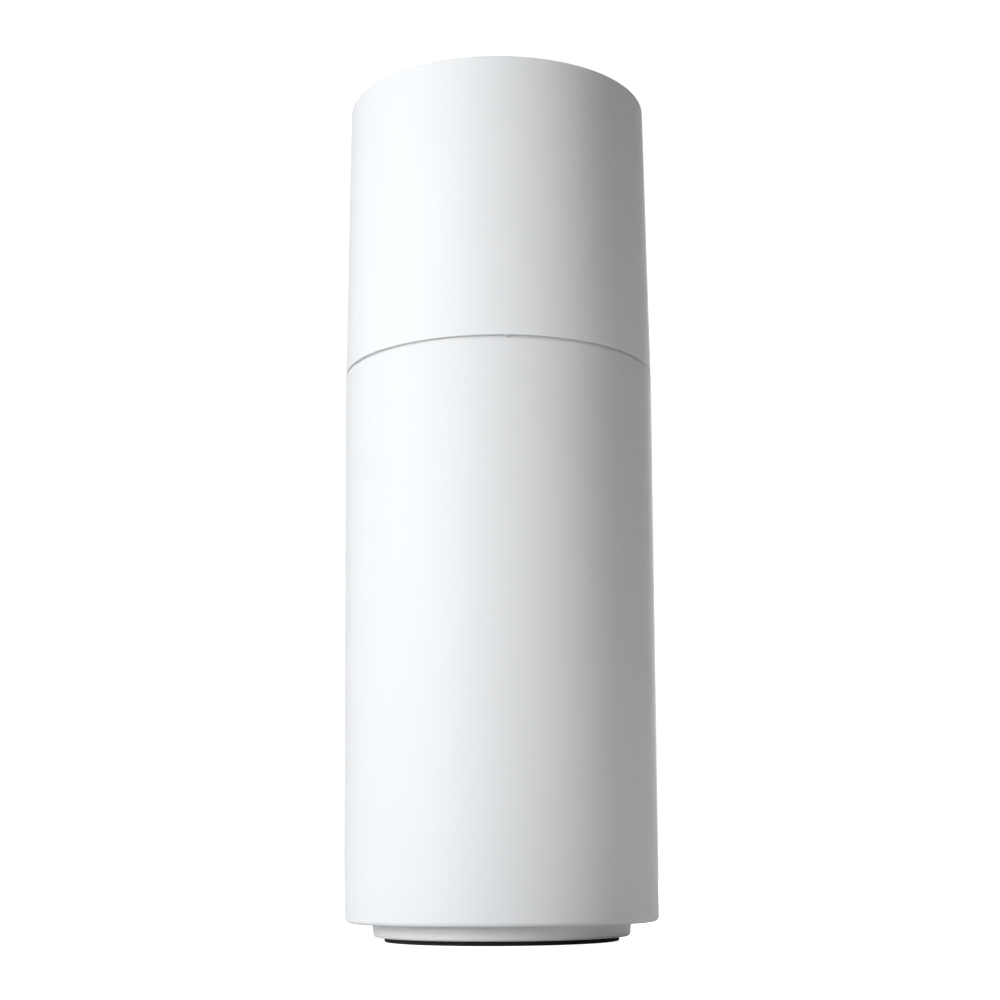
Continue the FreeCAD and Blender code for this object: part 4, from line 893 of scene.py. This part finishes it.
def camera():
    """The low camera that looks up at the front."""
    data = bpy.data.cameras.new("camera")
    data.lens = CAMERA_LENS
    data.sensor_width = 36.0
    data.clip_start = 0.01
    data.clip_end = 50.0
    made = bpy.data.objects.new("camera", data)
    tilt = Euler((math.radians(90 + CAMERA_PITCH), 0, math.radians(CAMERA_YAW))).to_matrix().to_4x4()
    roll = Matrix.Rotation(math.radians(CAMERA_ROLL), 4, "Z")
    spot = Vector((0, -CAMERA_DISTANCE, CAMERA_HEIGHT))
    made.matrix_world = Matrix.Translation(spot) @ tilt @ roll
    bpy.context.scene.collection.objects.link(made)
    bpy.context.scene.camera = made


def softbox(name, azimuth, height, distance, size, power, colour=(1.0, 1.0, 1.0)):
    """A flat soft light that faces the middle of the object. Azimuth 0 is in front, 90 on the right."""
    target = Vector((0, 0, HEAD_HIGH.z * 0.5))
    angle = math.radians(azimuth)
    spot = Vector((math.sin(angle) * distance, -math.cos(angle) * distance, height))
    data = bpy.data.lights.new(name, "AREA")
    data.shape = "RECTANGLE"
    data.size, data.size_y = size
    data.energy = power
    data.color = colour
    made = bpy.data.objects.new(name, data)
    made.location = spot
    made.rotation_mode = "QUATERNION"
    made.rotation_quaternion = (target - spot).to_track_quat("-Z", "Y")
    bpy.context.scene.collection.objects.link(made)


def floor():
    """A plain pale floor, which shows as white and casts a soft bounce."""
    data = bpy.data.meshes.new("floor")
    half = 12.0
    corners = [(-half, -half, 0), (half, -half, 0), (half, half, 0), (-half, half, 0)]
    data.from_pydata(corners, [], [(0, 1, 2, 3)])
    made = bpy.data.objects.new("floor", data)
    bpy.context.scene.collection.objects.link(made)
    material, tree, shader = new_material("floor_white", Roughness=0.9, Specular_IOR_Level=0.1)
    shade = blend_colours(tree, noise(tree, 4.0), (0.88, 0.88, 0.88), (0.91, 0.91, 0.91))
    wire(tree, shader, shade)
    rays = add(tree, "ShaderNodeLightPath")
    shader.inputs["Emission Color"].default_value = (1.0, 1.0, 1.0, 1.0)
    tree.links.new(rays.outputs["Is Camera Ray"], shader.inputs["Emission Strength"])
    data.materials.append(material)


def world():
    """White behind the object, and a dim even fill on it."""
    made = bpy.data.worlds.new("studio")
    made.use_nodes = True
    tree = made.node_tree
    tree.nodes.clear()
    rays = add(tree, "ShaderNodeLightPath")
    fill = add(tree, "ShaderNodeBackground", {"Color": (0.98, 0.985, 1.0, 1.0), "Strength": 0.09})
    white = add(tree, "ShaderNodeBackground", {"Color": (1.0, 1.0, 1.0, 1.0), "Strength": 1.05})
    mixed = add(tree, "ShaderNodeMixShader", {
        0: rays.outputs["Is Camera Ray"], 1: fill.outputs[0], 2: white.outputs[0]})
    add(tree, "ShaderNodeOutputWorld", {"Surface": mixed.outputs[0]})
    bpy.context.scene.world = made


camera()
world()
floor()
softbox("key", azimuth=-46, height=0.25, distance=1.6, size=(0.55, 1.2), power=29.3,
        colour=(0.985, 0.995, 1.0))
softbox("overhead", azimuth=180, height=1.5, distance=0.5, size=(0.8, 0.8), power=8.0)
softbox("rear", azimuth=165, height=0.35, distance=1.6, size=(0.8, 1.0), power=14.3,
        colour=(1.0, 0.99, 0.985))
softbox("low_strip", azimuth=60, height=0.03, distance=1.2, size=(0.6, 0.06), power=1.0)
bpy.context.scene.view_settings.view_transform = "Standard"

dress_frame()
lower_casing()
foot_disc()
filter_pleats()
filter_net()
gasket_foam()
bail_handle()
upper_casing()
outlet_fins()
light_band()
button_cap()
button_mark()
coil_spring()
leads()
